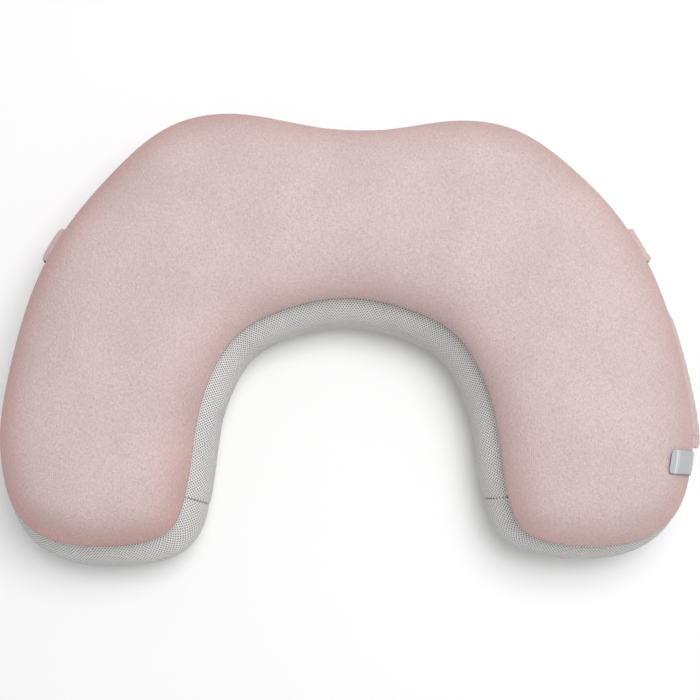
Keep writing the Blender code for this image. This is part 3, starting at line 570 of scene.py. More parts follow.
# ---- Material graphs ----
class Cloth:
    """A material's node graph, with short names for the nodes that fabrics use."""

    def __init__(self, name, roughness, metallic=0.0, sheen=0.0, sheen_tint=(1.0, 1.0, 1.0)):
        self.material = bpy.data.materials.new(name)
        self.material.use_nodes = True
        self.tree = self.material.node_tree
        self.shader = self.tree.nodes["Principled BSDF"]
        self.shader.inputs["Roughness"].default_value = roughness
        self.shader.inputs["Metallic"].default_value = metallic
        self.shader.inputs["Sheen Weight"].default_value = sheen
        self.shader.inputs["Sheen Roughness"].default_value = 0.5
        self.shader.inputs["Sheen Tint"].default_value = (*sheen_tint, 1.0)
        coordinates = self.tree.nodes.new("ShaderNodeTexCoord")
        self.solid = coordinates.outputs["Object"]
        self.flat = coordinates.outputs["UV"]

    def put(self, socket, value):
        """Link a node's output to a socket, or set the socket's own value."""
        if isinstance(value, bpy.types.NodeSocket):
            self.tree.links.new(value, socket)
        else:
            socket.default_value = value

    def math(self, operation, first, second=0.0):
        """One step of arithmetic."""
        node = self.tree.nodes.new("ShaderNodeMath")
        node.operation = operation
        self.put(node.inputs[0], first)
        self.put(node.inputs[1], second)
        return node.outputs[0]

    def plus(self, first, second):
        """The sum of two values."""
        return self.math("ADD", first, second)

    def times(self, first, second):
        """The product of two values."""
        return self.math("MULTIPLY", first, second)

    def length(self, across, up):
        """The length of the line with these two parts."""
        return self.math("SQRT", self.plus(self.times(across, across), self.times(up, up)))

    def stretch(self, vector, scale, turn=0.0):
        """The vector scaled, after a turn about Z in degrees."""
        node = self.tree.nodes.new("ShaderNodeMapping")
        self.put(node.inputs["Vector"], vector)
        node.inputs["Rotation"].default_value = (0, 0, math.radians(turn))
        node.inputs["Scale"].default_value = scale
        return node.outputs[0]

    def parts(self, vector):
        """A vector's x, y and z."""
        node = self.tree.nodes.new("ShaderNodeSeparateXYZ")
        self.put(node.inputs[0], vector)
        return node.outputs

    def noise(self, vector, size, detail=2.0, roughness=0.5):
        """Noise whose lumps are about size metres."""
        node = self.tree.nodes.new("ShaderNodeTexNoise")
        self.put(node.inputs["Vector"], vector)
        node.inputs["Scale"].default_value = 1 / size
        node.inputs["Detail"].default_value = detail
        node.inputs["Roughness"].default_value = roughness
        return node.outputs["Fac"]

    def between(self, value, low, high, bottom=0.0, top=1.0):
        """The value mapped from low..high to bottom..top, smoothly."""
        node = self.tree.nodes.new("ShaderNodeMapRange")
        node.interpolation_type = "SMOOTHSTEP"
        self.put(node.inputs["Value"], value)
        node.inputs["From Min"].default_value = low
        node.inputs["From Max"].default_value = high
        node.inputs["To Min"].default_value = bottom
        node.inputs["To Max"].default_value = top
        return node.outputs["Result"]

    def ramp(self, value, stops):
        """Colour along a value. stops holds (place, colour)."""
        node = self.tree.nodes.new("ShaderNodeValToRGB")
        self.put(node.inputs[0], value)
        bar = node.color_ramp.elements
        while len(bar) < len(stops):
            bar.new(0.5)
        for element, (place, colour) in zip(bar, stops):
            element.position = place
            element.color = (*colour, 1.0)
        return node.outputs["Color"]

    def mix(self, share, first, second, blend="MIX"):
        """The first colour with a share of the second over it."""
        node = self.tree.nodes.new("ShaderNodeMix")
        node.data_type = "RGBA"
        node.blend_type = blend
        self.put(node.inputs["Factor"], share)
        for socket, value in ((node.inputs[6], first), (node.inputs[7], second)):
            self.put(socket, (*value, 1.0) if isinstance(value, tuple) else value)
        return node.outputs[2]

    def tinted(self, colour, tint):
        """A colour multiplied by another."""
        return self.mix(1.0, colour, tint, "MULTIPLY")

    def mottled(self, colour, size, detail, dark, light):
        """A colour with soft patches of about size metres, between two shades of itself."""
        patches = self.between(self.noise(self.solid, size, detail), 0.3, 0.7, dark, light)
        return self.tinted(colour, self.grey(patches))

    def bump(self, height, depth, strength=1.0, below=None):
        """A normal from a height of 0 to 1 that stands for depth metres."""
        node = self.tree.nodes.new("ShaderNodeBump")
        self.put(node.inputs["Height"], height)
        node.inputs["Distance"].default_value = depth
        node.inputs["Strength"].default_value = strength
        if below is not None:
            self.put(node.inputs["Normal"], below)
        return node.outputs["Normal"]

    def wave(self, value, pitch):
        """A smooth wave from 0 to 1 along a coordinate in metres."""
        turned = self.math("SINE", self.times(value, 2 * math.pi / pitch))
        return self.times(self.plus(turned, 1.0), 0.5)

    def grey(self, value):
        """A value as a colour."""
        node = self.tree.nodes.new("ShaderNodeCombineColor")
        for socket in node.inputs:
            self.put(socket, value)
        return node.outputs[0]

    def finish(self, colour, normal=None, roughness=None):
        """Connect the shader and return the material."""
        self.put(self.shader.inputs["Base Color"], colour)
        if normal is not None:
            self.put(self.shader.inputs["Normal"], normal)
        if roughness is not None:
            self.put(self.shader.inputs["Roughness"], roughness)
        return self.material


# ---- Colours ----
PINK_DARK = (0.440, 0.332, 0.318)
PINK = (0.527, 0.420, 0.407)
PINK_LIGHT = (0.602, 0.510, 0.497)
YARN = (0.715, 0.705, 0.684)
YARN_LIGHT = (0.815, 0.807, 0.788)
MESH_HOLE_SHADE = (0.235, 0.232, 0.226)
LINING_DARK = (0.700, 0.690, 0.670)
LINING = (0.800, 0.790, 0.770)
LINING_LIGHT = (0.860, 0.850, 0.830)
FOAM_PORE = (0.600, 0.550, 0.450)
FOAM = (0.820, 0.780, 0.680)
TAG_DARK = (0.360, 0.380, 0.400)
TAG = (0.510, 0.530, 0.550)
TAG_LIGHT = (0.600, 0.615, 0.630)
THREAD = (0.560, 0.450, 0.435)
METAL = (0.560, 0.555, 0.550)
METAL_RUBBED = (0.780, 0.780, 0.770)
NYLON_DARK = (0.460, 0.450, 0.440)
NYLON = (0.580, 0.570, 0.560)
TUFT_DARK = (0.400, 0.395, 0.390)
TUFT = (0.660, 0.655, 0.650)

# Painted shade on the top's rolled edge: the knit is tinted darker and redder there, more on the left arm
# than on the right and less round the waist.
RIM_SHADE_TINT = (0.97, 0.65, 0.62)
RIM_SHADE_LEFT = 0.75
RIM_SHADE_RIGHT = 0.42
RIM_SIDE_X = 0.34
RIM_WAIST_Y = -0.14
RIM_WAIST_RANGE = (0.14, 0.25)
RIM_WAIST_SHARE = 0.5
# Painted light: the knit of the belt, its ends and its loops is made lighter and redder than the top's.
BAND_LIGHT_TINT = (1.10, 1.03, 1.02)
MESH_PITCH = 0.0029
ROW_SHARE = 0.866
KNIT_PITCH = 0.0019


# ---- Materials ----
def knit_height(cloth, vector, pitch):
    """Height of a plain knit: columns of loops, each loop leaning to one side in turn."""
    x, y = cloth.parts(vector)[:2]
    lean = cloth.wave(y, pitch * 0.8)
    column = cloth.wave(cloth.plus(x, cloth.times(lean, pitch * 0.3)), pitch)
    return cloth.times(column, cloth.between(lean, 0.0, 1.0, 0.55, 1.0))


def rim_shade_depth(cloth):
    """How deep the painted shade on the rim is: deepest on the left arm, least round the waist."""
    x, y = cloth.parts(cloth.solid)[:2]
    from_waist = cloth.length(x, cloth.math("SUBTRACT", y, RIM_WAIST_Y))
    waist = cloth.between(from_waist, *RIM_WAIST_RANGE, RIM_WAIST_SHARE, 1.0)
    side = cloth.between(x, -RIM_SIDE_X, RIM_SIDE_X, RIM_SHADE_LEFT, RIM_SHADE_RIGHT)
    return cloth.times(waist, side)


def pink_knit():
    """Heathered knit: dark and light fibres spun together, over a soft fine knit, with painted shade on its
    rolled edge.
    """
    cloth = Cloth("pink_knit", 0.93, sheen=0.18, sheen_tint=PINK_LIGHT)
    grain = cloth.noise(cloth.solid, 0.0021, 3, 0.6)
    fleck = cloth.noise(cloth.stretch(cloth.solid, (1.0, 0.38, 1.0), 24), 0.0013, 2)
    speck = cloth.noise(cloth.stretch(cloth.solid, (0.42, 1.0, 1.0), -18), 0.0011, 2)
    fibres = cloth.plus(cloth.times(fleck, 0.32), cloth.times(speck, 0.28))
    mixed = cloth.plus(cloth.times(grain, 0.40), fibres)
    heather = cloth.ramp(mixed, ((0.34, PINK_DARK), (0.50, PINK), (0.66, PINK_LIGHT)))
    colour = cloth.mottled(heather, 0.075, 3, 0.955, 1.03)
    # Painted shade: towards the rolled edge the colour is darkened and reddened, standing in for the shade on
    # the rim.
    from_edge = cloth.parts(cloth.flat)[1]
    near_edge = cloth.math("POWER", cloth.between(from_edge, 0.010, 0.095, 1.0, 0.0), 1.8)
    painted_rim_shade = cloth.times(near_edge, rim_shade_depth(cloth))
    colour = cloth.mix(painted_rim_shade, colour, cloth.tinted(colour, RIM_SHADE_TINT))
    loops = cloth.bump(knit_height(cloth, cloth.solid, KNIT_PITCH), 0.00025, 0.6)
    fuzz = cloth.bump(mixed, 0.0011, 0.55, loops)
    near_seam = cloth.between(from_edge, 0.006, 0.024, 1.0, 0.0)
    gathers = cloth.noise(cloth.stretch(cloth.flat, (1.0, 0.16, 1.0)), 0.009, 1)
    pucker = cloth.bump(cloth.times(gathers, near_seam), 0.0022, 0.8, fuzz)
    return cloth.finish(colour, pucker)


def band_knit():
    """The same knit on the belt and its loops, with coordinates that follow the strip, made lighter with
    painted light.
    """
    cloth = Cloth("pink_band_knit", 0.93, sheen=0.18, sheen_tint=PINK_LIGHT)
    grain = cloth.noise(cloth.solid, 0.0019, 3, 0.6)
    fleck = cloth.noise(cloth.stretch(cloth.flat, (0.4, 1.0, 1.0)), 0.0013, 2)
    mixed = cloth.plus(cloth.times(grain, 0.55), cloth.times(fleck, 0.45))
    heather = cloth.ramp(mixed, ((0.36, PINK_DARK), (0.50, PINK), (0.63, PINK_LIGHT)))
    # Painted light: the band's knit is lifted lighter, standing in for the light its faces catch.
    colour = cloth.tinted(heather, BAND_LIGHT_TINT)
    ribs = cloth.bump(knit_height(cloth, cloth.flat, KNIT_PITCH), 0.0003, 0.6)
    return cloth.finish(colour, cloth.bump(mixed, 0.0009, 0.5, ribs))


def spacer_mesh():
    """Spacer mesh: a lattice of round holes in staggered rows, in a springy grey yarn, with the holes painted
    dark.
    """
    cloth = Cloth("grey_spacer_mesh", 0.82, sheen=0.10)
    wobble = cloth.times(cloth.noise(cloth.solid, 0.018, 2), MESH_PITCH * 0.5)
    along, up = cloth.parts(cloth.flat)[:2]
    across = cloth.math("DIVIDE", cloth.plus(along, wobble), MESH_PITCH)
    height = cloth.math("DIVIDE", cloth.plus(up, wobble), MESH_PITCH * ROW_SHARE)
    odd = cloth.math("MODULO", cloth.math("FLOOR", height), 2.0)
    staggered = cloth.plus(across, cloth.times(odd, 0.5))
    side = cloth.math("SUBTRACT", cloth.math("FRACT", staggered), 0.5)
    rise = cloth.times(cloth.math("SUBTRACT", cloth.math("FRACT", height), 0.5), ROW_SHARE)
    from_middle = cloth.length(side, rise)
    yarn_share = cloth.between(from_middle, 0.21, 0.35)
    fibre = cloth.noise(cloth.solid, 0.0012, 2, 0.6)
    yarn = cloth.ramp(fibre, ((0.35, YARN), (0.65, YARN_LIGHT)))
    # The holes are painted dark: partly the darker inner layer seen through them, partly painted shade inside
    # them.
    colour = cloth.mix(yarn_share, MESH_HOLE_SHADE, yarn)
    colour = cloth.mottled(colour, 0.05, 2, 0.95, 1.02)
    lattice = cloth.bump(cloth.between(from_middle, 0.10, 0.52), 0.0009, 0.9)
    return cloth.finish(colour, cloth.bump(fibre, 0.0003, 0.5, lattice))


def woven(name, colour, light, pitch, roughness=0.85, slant=0.0, sheen=0.0):
    """A plain or slanted weave of the given thread pitch, with coordinates that follow the strip."""
    cloth = Cloth(name, roughness, sheen=sheen)
    turned = cloth.stretch(cloth.flat, (1.0, 1.0, 1.0), slant)
    x, y = cloth.parts(turned)[:2]
    over = cloth.times(cloth.wave(x, pitch), cloth.wave(y, pitch))
    fibre = cloth.noise(cloth.solid, 0.0011, 3, 0.6)
    share = cloth.plus(cloth.times(over, 0.5), cloth.times(fibre, 0.6))
    tone = cloth.mix(cloth.between(share, 0.15, 0.75), colour, light)
    tone = cloth.mottled(tone, 0.06, 2, 0.94, 1.03)
    return cloth.finish(tone, cloth.bump(over, pitch * 0.25, 0.7))


def nonwoven():
    """Pressed fibre lining with a faint cross-hatch of bonding points."""
    cloth = Cloth("insert_lining", 0.9)
    x, y = cloth.parts(cloth.solid)[:2]
    points = cloth.times(cloth.wave(x, 0.0024), cloth.wave(y, 0.0024))
    fibre = cloth.noise(cloth.stretch(cloth.solid, (1.0, 0.2, 1.0), 35), 0.0015, 3)
    colour = cloth.ramp(fibre, ((0.35, LINING_DARK), (0.6, LINING)))
    return cloth.finish(colour, cloth.bump(points, 0.0002, 0.6, cloth.bump(fibre, 0.0003, 0.4)))


def open_foam():
    """Open-cell foam: fine pores of uneven size."""
    cloth = Cloth("foam", 0.95)
    pores = cloth.between(cloth.noise(cloth.solid, 0.0014, 4, 0.7), 0.42, 0.56)
    colour = cloth.mix(pores, FOAM_PORE, FOAM)
    return cloth.finish(colour, cloth.bump(pores, 0.0008, 0.8))


def lacquered_metal():
    """Light grey lacquer over cast zinc, rubbed at the high spots."""
    cloth = Cloth("zip_metal", 0.36, metallic=0.35)
    cloth.shader.inputs["Coat Weight"].default_value = 0.3
    rub = cloth.between(cloth.noise(cloth.solid, 0.0016, 4, 0.7), 0.56, 0.68)
    colour = cloth.mix(rub, METAL, METAL_RUBBED)
    orange_peel = cloth.bump(cloth.noise(cloth.solid, 0.0008, 2), 0.00005, 0.5)
    return cloth.finish(colour, orange_peel, cloth.between(rub, 0.0, 1.0, 0.38, 0.26))


def coil_nylon():
    """Pale grey nylon of the zip's teeth."""
    cloth = Cloth("zip_coil", 0.42)
    cloth.shader.inputs["Coat Weight"].default_value = 0.15
    tone = cloth.noise(cloth.solid, 0.004, 3)
    colour = cloth.ramp(tone, ((0.3, NYLON_DARK), (0.7, NYLON)))
    return cloth.finish(colour, cloth.bump(cloth.noise(cloth.solid, 0.0004, 2), 0.00004, 0.5))


def hook_and_pile(name, pitch):
    """A field of tiny hooks or loops."""
    cloth = Cloth(name, 0.95, sheen=0.3)
    tuft = cloth.noise(cloth.stretch(cloth.flat, (1.0, 1.0, 1.0), 12), pitch, 3, 0.7)
    colour = cloth.ramp(tuft, ((0.38, TUFT_DARK), (0.62, TUFT)))
    return cloth.finish(colour, cloth.bump(tuft, 0.0009, 0.9))


def tag_weave():
    """Satin tag with a light woven stripe near its inner end and a fine line beside it."""
    cloth = Cloth("tag_cloth", 0.5, sheen=0.15)
    out = cloth.parts(cloth.flat)[1]
    lines = []
    for middle, half_width in TAG_STRIPES:
        line = cloth.math("COMPARE", out, middle)
        line.node.inputs[2].default_value = half_width
        lines.append(line)
    stripe = cloth.math("MAXIMUM", *lines)
    threads = cloth.wave(out, 0.0006)
    fibre = cloth.noise(cloth.stretch(cloth.flat, (0.15, 1.0, 1.0)), 0.0007, 2)
    ground = cloth.mix(cloth.times(threads, fibre), TAG_DARK, TAG)
    colour = cloth.mix(stripe, ground, TAG_LIGHT)
    return cloth.finish(colour, cloth.bump(threads, 0.00012, 0.7))


def sewing_thread(name, colour):
    """Twisted thread with slanting strands."""
    cloth = Cloth(name, 0.6, sheen=0.2)
    strand = cloth.wave(cloth.parts(cloth.stretch(cloth.solid, (1.0, 1.0, 1.0), 35))[0], 0.0007)
    tone = cloth.mix(strand, tuple(0.8 * c for c in colour), colour)
    return cloth.finish(tone, cloth.bump(strand, 0.0001, 0.5))


# ---- Cover ----
def rib_points(places, top, side_steps, rib_steps, height):
    """The grid's points and the ribs' points, how far in each lies, and the ribs as point indices."""
    edge = places[-1]
    count = len(edge)
    first = (len(places) - 1) * count
    total = len(places) * count
    ring_depth = OUTLINE.depth(edge[:, 0], edge[:, 1])
    points = [places.reshape(-1, 3)]
    inward = [np.zeros(first), top + 0.0 * ring_depth]
    ribs = [[first] * (rib_steps + 1)]
    shares = np.linspace(0, 1, rib_steps + 1)[1:-1, None]
    for i in range(1, side_steps):
        middle = edge[i] + (edge[count - i] - edge[i]) * shares
        depths = OUTLINE.depth(middle[:, 0], middle[:, 1])
        middle[:, 2] = height(depths)
        points.append(middle)
        inward.append(top + np.maximum(depths - ring_depth[i], 0.0))
        ribs.append([first + i, *range(total, total + rib_steps - 1), first + count - i])
        total += rib_steps - 1
    ribs.append([first + side_steps] * (rib_steps + 1))
    return np.vstack(points), np.concatenate(inward), ribs


def roof_mesh(name, rows, side_steps, rib_steps, height, material, planar=False):
    """A U-shaped surface: closed rows of (offset, z), then ribs across from its last row.

    Its flat coordinates are the arc length and the way up the rows and on across the ribs. With planar
    set, the ribs take theirs from x and y.
    """
    ring = OUTLINE.ring(side_steps)
    offsets = np.array([row[0] * np.ones(len(ring)) for row in rows])
    heights = np.array([row[1] * np.ones(len(ring)) for row in rows])
    places = OUTLINE.place(ring[None, :], offsets, heights)
    faces, grid = grid_faces(len(rows), len(ring), closed=True)
    rise = np.hypot(np.diff(offsets, axis=0), np.diff(heights, axis=0)).mean(axis=1)
    up = np.concatenate([[0], np.cumsum(rise)])
    along = np.append(ring, OUTLINE.length)
    uvs = [(along[c], up[r]) for spot in grid for r, c in spot]
    points, inward, ribs = rib_points(places, up[-1], side_steps, rib_steps, height)
    for rib, following in zip(ribs, ribs[1:]):
        for k in range(rib_steps):
            corners = tuple(dict.fromkeys((rib[k], rib[k + 1], following[k + 1], following[k])))
            faces.append(corners)
            uvs += [(points[v][0], points[v][1] if planar else inward[v]) for v in corners]
    return mesh_object(name, points, faces, uvs, material)


def lumps(places, kinds):
    """Unevenness of several kinds at each point, as a column. kinds holds (height, size, seed)."""
    return sum(height * unevenness(places, size, seed)[:, None] for height, size, seed in kinds)


def make_top_panel(material):
    """The knit top: folded in under its seam, rolled over the edge and swollen by the filling."""
    roll = [roll_row(degrees) for degrees in range(0, INNER_RING_DEGREES + 1, 6)]
    rows = [*TOP_SEAM_PATH, *roll]
    panel = roof_mesh("knit_top_panel", rows, SIDE_STEPS, RIB_STEPS, top_height, material)
    row = 2 * SIDE_STEPS
    smooth_points(panel, np.arange(9 * row, len(panel.data.vertices)), 40)
    swell(panel, range(6 * row), 3.0, 0.004)
    smooth_points(panel, np.arange(8 * row, len(panel.data.vertices)), 10)
    places = points_of(panel)
    lift = smooth_step((places[:, 2] - EDGE_Z) / 0.03)[:, None]
    swollen = lumps(places, TOP_LUMPS)
    set_points(panel, settle(places + normals_of(panel) * swollen * lift))
    subdivide(panel)
    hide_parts("top_panel")
    return panel


def zip_slot_ends():
    """Arc lengths of the zip's front and back ends."""
    places = []
    for degrees in (ZIP_FRONT_DEGREES, ZIP_BACK_DEGREES):
        angle = math.radians(degrees)
        places.append(OUTLINE.nearest(ZIP_CENTRE[0] + ZIP_RADIUS * math.cos(angle),
                                      ZIP_CENTRE[1] + ZIP_RADIUS * math.sin(angle)))
    return places


def slot_share(s):
    """1 along the zip, 0 away from it, with a short ramp at each end."""
    front, back = zip_slot_ends()
    place = s % OUTLINE.length
    past = np.maximum(front - place, place - back) - ZIP_SLOT_MARGIN
    return np.clip(1 - past / ZIP_SLOT_RAMP, 0, 1)


def wall_profile(ends):
    """The side wall's rows of offset and height. ends are the arc lengths of its two upright seams."""
    def profile(s):
        low = BASE_SEAM_Z + 0.0003 + (ZIP_SLOT_TOP_Z - BASE_SEAM_Z) * slot_share(s)
        shares = np.concatenate([[0.0, 0.012, 0.035], spread(0.075, 0.925, 13), [0.965, 0.988, 1.0]])[:, None]
        heights = low + (TOP_SEAM_Z - low) * shares
        offsets = wall_offset(s, heights) + waist_fullness(s, heights)
        to_seam = np.minimum(heights - low, TOP_SEAM_Z - heights)
        to_end = np.minimum(s - ends[0], ends[1] - s)
        offsets = offsets - SEAM_GROOVE * (1 - smooth_step(to_end / SEAM_GROOVE_WIDTH))
        offsets = offsets - EDGE_GROOVE * (1 - smooth_step(to_seam / EDGE_GROOVE_WIDTH))
        offsets = np.where(to_end < 1e-6, offsets - SEAM_TURN_IN / 3, offsets)
        bottom = (offsets[:1] - SEAM_TURN_IN, heights[:1] + 0.0006)
        top = (offsets[-1:] - SEAM_TURN_IN, heights[-1:] - 0.0004)
        return np.vstack([bottom[0], offsets, top[0]]), np.vstack([bottom[1], heights, top[1]])
    return profile


def wall_spots(start, end):
    """Arc lengths along a wall, with close columns at its ends and at the zip's slot."""
    count = int((end - start) / WALL_STEP)
    wanted = set(np.linspace(start, end, count).tolist())
    wanted |= {edge + way * gap for edge, way in ((start, 1), (end, -1)) for gap in (0.0007, 0.002, 0.0042)}
    front, back = (place + OUTLINE.length for place in zip_slot_ends())
    for place in (front - ZIP_SLOT_MARGIN, back + ZIP_SLOT_MARGIN):
        wanted |= {place + shift for shift in (-ZIP_SLOT_RAMP, 0.0, ZIP_SLOT_RAMP) if start < place < end}
    return np.array(sorted(wanted))


def make_walls(material):
    """The two mesh walls, which meet at upright seams near the arm tips."""
    x, y = WALL_SEAM_POINT
    right = OUTLINE.nearest(x, y)
    left = OUTLINE.nearest(-x, y)
    pieces = []
    for name, node, start, end in (("mesh_waist_wall", "waist_wall", right, left),
                                   ("mesh_outer_wall", "outer_wall", left, right + OUTLINE.length)):
        spots = wall_spots(start + 0.00005, end - 0.00005)
        wall = strip(name, spots, wall_profile((spots[0], spots[-1])), material, settled=False)
        columns = len(spots)
        rows = len(wall.data.vertices) // columns
        grid = np.arange(rows * columns).reshape(rows, columns)
        borders = (grid[:4], grid[-4:], grid[:, :3], grid[:, -3:])
        sewn = np.unique(np.concatenate([border.ravel() for border in borders]))
        swell(wall, sewn, 2.0, 0.0012)
        places = points_of(wall)
        rise = (places[:, 2] - BASE_SEAM_Z) / (TOP_SEAM_Z - BASE_SEAM_Z)
        free = np.sin(np.pi * np.clip(rise, 0, 1))[:, None]
        swollen = lumps(places, WALL_LUMPS)
        set_points(wall, settle(places + normals_of(wall) * swollen * free))
        subdivide(wall)
        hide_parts(node)
        pieces.append(wall)
    return pieces


def make_base_panel(material):
    """The flat underside, turned up at its edge to meet the walls."""
    ring = OUTLINE.ring(SIDE_STEPS)
    sole = wall_offset(ring, BASE_SEAM_Z)
    rows = [(sole - tuck, z) for tuck, z in SOLE_PATH]
    panel = roof_mesh("base_cloth_panel", rows, SIDE_STEPS, COARSE_RIB_STEPS, lambda depth: 0.0 * depth,
                      material, planar=True)
    panel.data.flip_normals()
    set_points(panel, settle(points_of(panel)))
    subdivide(panel)
    places = points_of(panel)
    places[:, 2] = np.maximum(places[:, 2], 0.0)
    set_points(panel, places)
    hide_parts("base_panel")
    return panel


# ---- Insert ----
def insert_offset(s, z, inset):
    """The insert's side, inside the cover's walls and drawn in at its foot."""
    low = np.maximum(1 - z / TUCK_HEIGHT, 0.0)
    return wall_offset(s, z) - inset - TUCK_DEPTH * low * low


def insert_rows(inset, low, high, count):
    """Rows up the insert's side."""
    ring = OUTLINE.ring(INSERT_STEPS)
    return [(insert_offset(ring, z, inset), z) for z in spread(low, high, count)]


def insert_top_rows(inset):
    """Rows round the insert's rolled top edge."""
    return [roll_row(degrees, -inset - INSERT_EASE) for degrees in range(0, 61, 12)]


def insert_foot_rows(inset):
    """Rows round the insert's lower edge, from the sole outwards."""
    ring = OUTLINE.ring(INSERT_STEPS)
    ankle = insert_offset(ring, 0.0, inset)
    return [(ankle - INSERT_FOOT_TUCK, inset), (ankle - INSERT_FOOT_TUCK / 3, inset + 0.0008),
            (ankle, inset + 0.0035)]


def make_insert(lining, foam):
    """The filling and the two halves of its case, all inside the cover."""
    def case_roof(depth):
        return top_height(depth) - CASE_INSET - INSERT_EASE

    def core_roof(depth):
        return top_height(depth) - CORE_INSET - INSERT_EASE

    rows = insert_rows(CASE_INSET, CASE_SPLIT_Z, TOP_SEAM_Z, 5) + insert_top_rows(CASE_INSET)
    top = roof_mesh("insert_case_upper_half", rows, INSERT_STEPS, COARSE_RIB_STEPS, case_roof, lining)
    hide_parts("insert_case_top")
    rows = insert_foot_rows(CASE_INSET) + insert_rows(CASE_INSET, BASE_SEAM_Z, CASE_SPLIT_Z - 0.0003, 5)
    base = roof_mesh("insert_case_lower_half", rows[::-1], INSERT_STEPS, COARSE_RIB_STEPS // 2,
                     lambda depth: CASE_INSET + 0.0 * depth, lining)
    base.data.flip_normals()
    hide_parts("insert_case_base")
    rows = insert_foot_rows(CORE_INSET) + insert_rows(CORE_INSET, BASE_SEAM_Z, TOP_SEAM_Z, 8)
    rows += insert_top_rows(CORE_INSET)
    core = roof_mesh("foam_filling", rows, INSERT_STEPS, COARSE_RIB_STEPS, core_roof, foam)
    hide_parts("foam_core")
    for piece in (top, base, core):
        set_points(piece, settle(points_of(piece)))
    return top, base, core


# ---- Many small copies in one mesh ----
def bead_shape(sides=8, rings=5):
    """A unit bead along X, from -0.5 to 0.5, one across."""
    points = [(-0.5, 0.0, 0.0)]
    for r in range(1, rings):
        turn = math.pi * r / rings
        for k in range(sides):
            angle = 2 * math.pi * k / sides
            points.append((-0.5 * math.cos(turn), 0.5 * math.sin(turn) ** 0.6 * math.cos(angle),
                           0.5 * math.sin(turn) ** 0.6 * math.sin(angle)))
    points.append((0.5, 0.0, 0.0))
    last = len(points) - 1
    faces = []
    for k in range(sides):
        after = (k + 1) % sides
        faces.append((0, 1 + after, 1 + k))
        for r in range(rings - 2):
            low = 1 + r * sides
            faces.append((low + k, low + after, low + sides + after, low + sides + k))
        low = 1 + (rings - 2) * sides
        faces.append((low + k, low + after, last))
    return np.array(points), faces


def beads(name, centres, along, out, size, material):
    """A bead at each centre, its length along one direction and its height along out."""
    points, faces = bead_shape()
    along = along / np.linalg.norm(along, axis=1, keepdims=True)
    out = out - (out * along).sum(axis=1, keepdims=True) * along
    out = out / np.linalg.norm(out, axis=1, keepdims=True)
    side = np.cross(out, along)
    axes = np.stack([along, side, out], axis=1)
    places = centres[:, None, :] + np.einsum("vk,nkc->nvc", points * size, axes)
    shifted = [tuple(v + n * len(points) for v in face) for n in range(len(centres)) for face in faces]
    return mesh_object(name, places, shifted, None, material)


def stitches(name, spots, offset_at, z, pitch, material):
    """A row of stitches along the outline at height z, lying on a surface given by its offset."""
    middles = np.arange(spots[0] + pitch, spots[1] - pitch / 2, pitch)
    reach = pitch * 0.3
    centres = settle(OUTLINE.place(middles, offset_at(middles), z))
    ahead = settle(OUTLINE.place(middles + reach, offset_at(middles + reach), z))
    outer = settle(OUTLINE.place(middles, offset_at(middles) + 0.001, z))
    return beads(name, centres, ahead - centres, outer - centres, (pitch * 0.72, 0.0006, 0.0005), material)


def join(name, items):
    """Put several mesh objects into one."""
    points = []
    faces = []
    total = 0
    for item in items:
        places = points_of(item)
        points.append(places)
        faces += [tuple(v + total for v in face.vertices) for face in item.data.polygons]
        total += len(places)
    material = items[0].data.materials[0]
    for item in items:
        bpy.data.objects.remove(item, do_unlink=True)
    return mesh_object(name, np.vstack(points), faces, None, material)


# ---- Zip ----
def zip_place(degrees, radius, z):
    """Points on the zip's arc."""
    angle = np.radians(degrees)
    x = ZIP_CENTRE[0] + radius * np.cos(angle)
    y = ZIP_CENTRE[1] + radius * np.sin(angle)
    return np.stack(np.broadcast_arrays(x, y, z), axis=-1)


def make_tape(name, node, low, high, material):
    """One side of the zip's tape: a thin woven band on the zip's arc."""
    degrees = spread(ZIP_FRONT_DEGREES, ZIP_BACK_DEGREES, TAPE_STEPS)
    heights = spread(low, high, 5)
    places = zip_place(degrees[None, :], ZIP_RADIUS - TAPE_DEPTH / 2, heights[:, None])
    faces, grid = grid_faces(len(heights), TAPE_STEPS)
    metres = np.radians(ZIP_FRONT_DEGREES - degrees) * ZIP_RADIUS
    uvs = [(metres[c], heights[r]) for spot in grid for r, c in spot]
    tape = mesh_object(name, places, faces, uvs, material)
    thicken(tape, TAPE_DEPTH, 0.0002)
    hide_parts(node)
    return tape


def make_coil(name, node, middle, lean, material):
    """One side of the zip's coil: turns that lean a little, one after another."""
    margin = math.degrees((STOP_LENGTH + 0.0003) / ZIP_RADIUS)
    reach = math.radians(ZIP_FRONT_DEGREES - ZIP_BACK_DEGREES - 2 * margin) * ZIP_RADIUS
    turns = int(reach / COIL_PITCH)
    degrees = spread(ZIP_FRONT_DEGREES - margin - 0.1, ZIP_BACK_DEGREES + margin + 0.1, turns)
    centres = zip_place(degrees, ZIP_RADIUS, middle)
    outward = zip_place(degrees, ZIP_RADIUS + 0.01, middle) - centres
    upward = np.tile([[0.0, 0.0, 1.0]], (len(degrees), 1))
    leaning = upward + lean * np.cross(upward, outward)
    coil = beads(name, centres, outward, leaning, (COIL_DEPTH, COIL_WIRE, COIL_HEIGHT), material)
    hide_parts(node)
    return coil


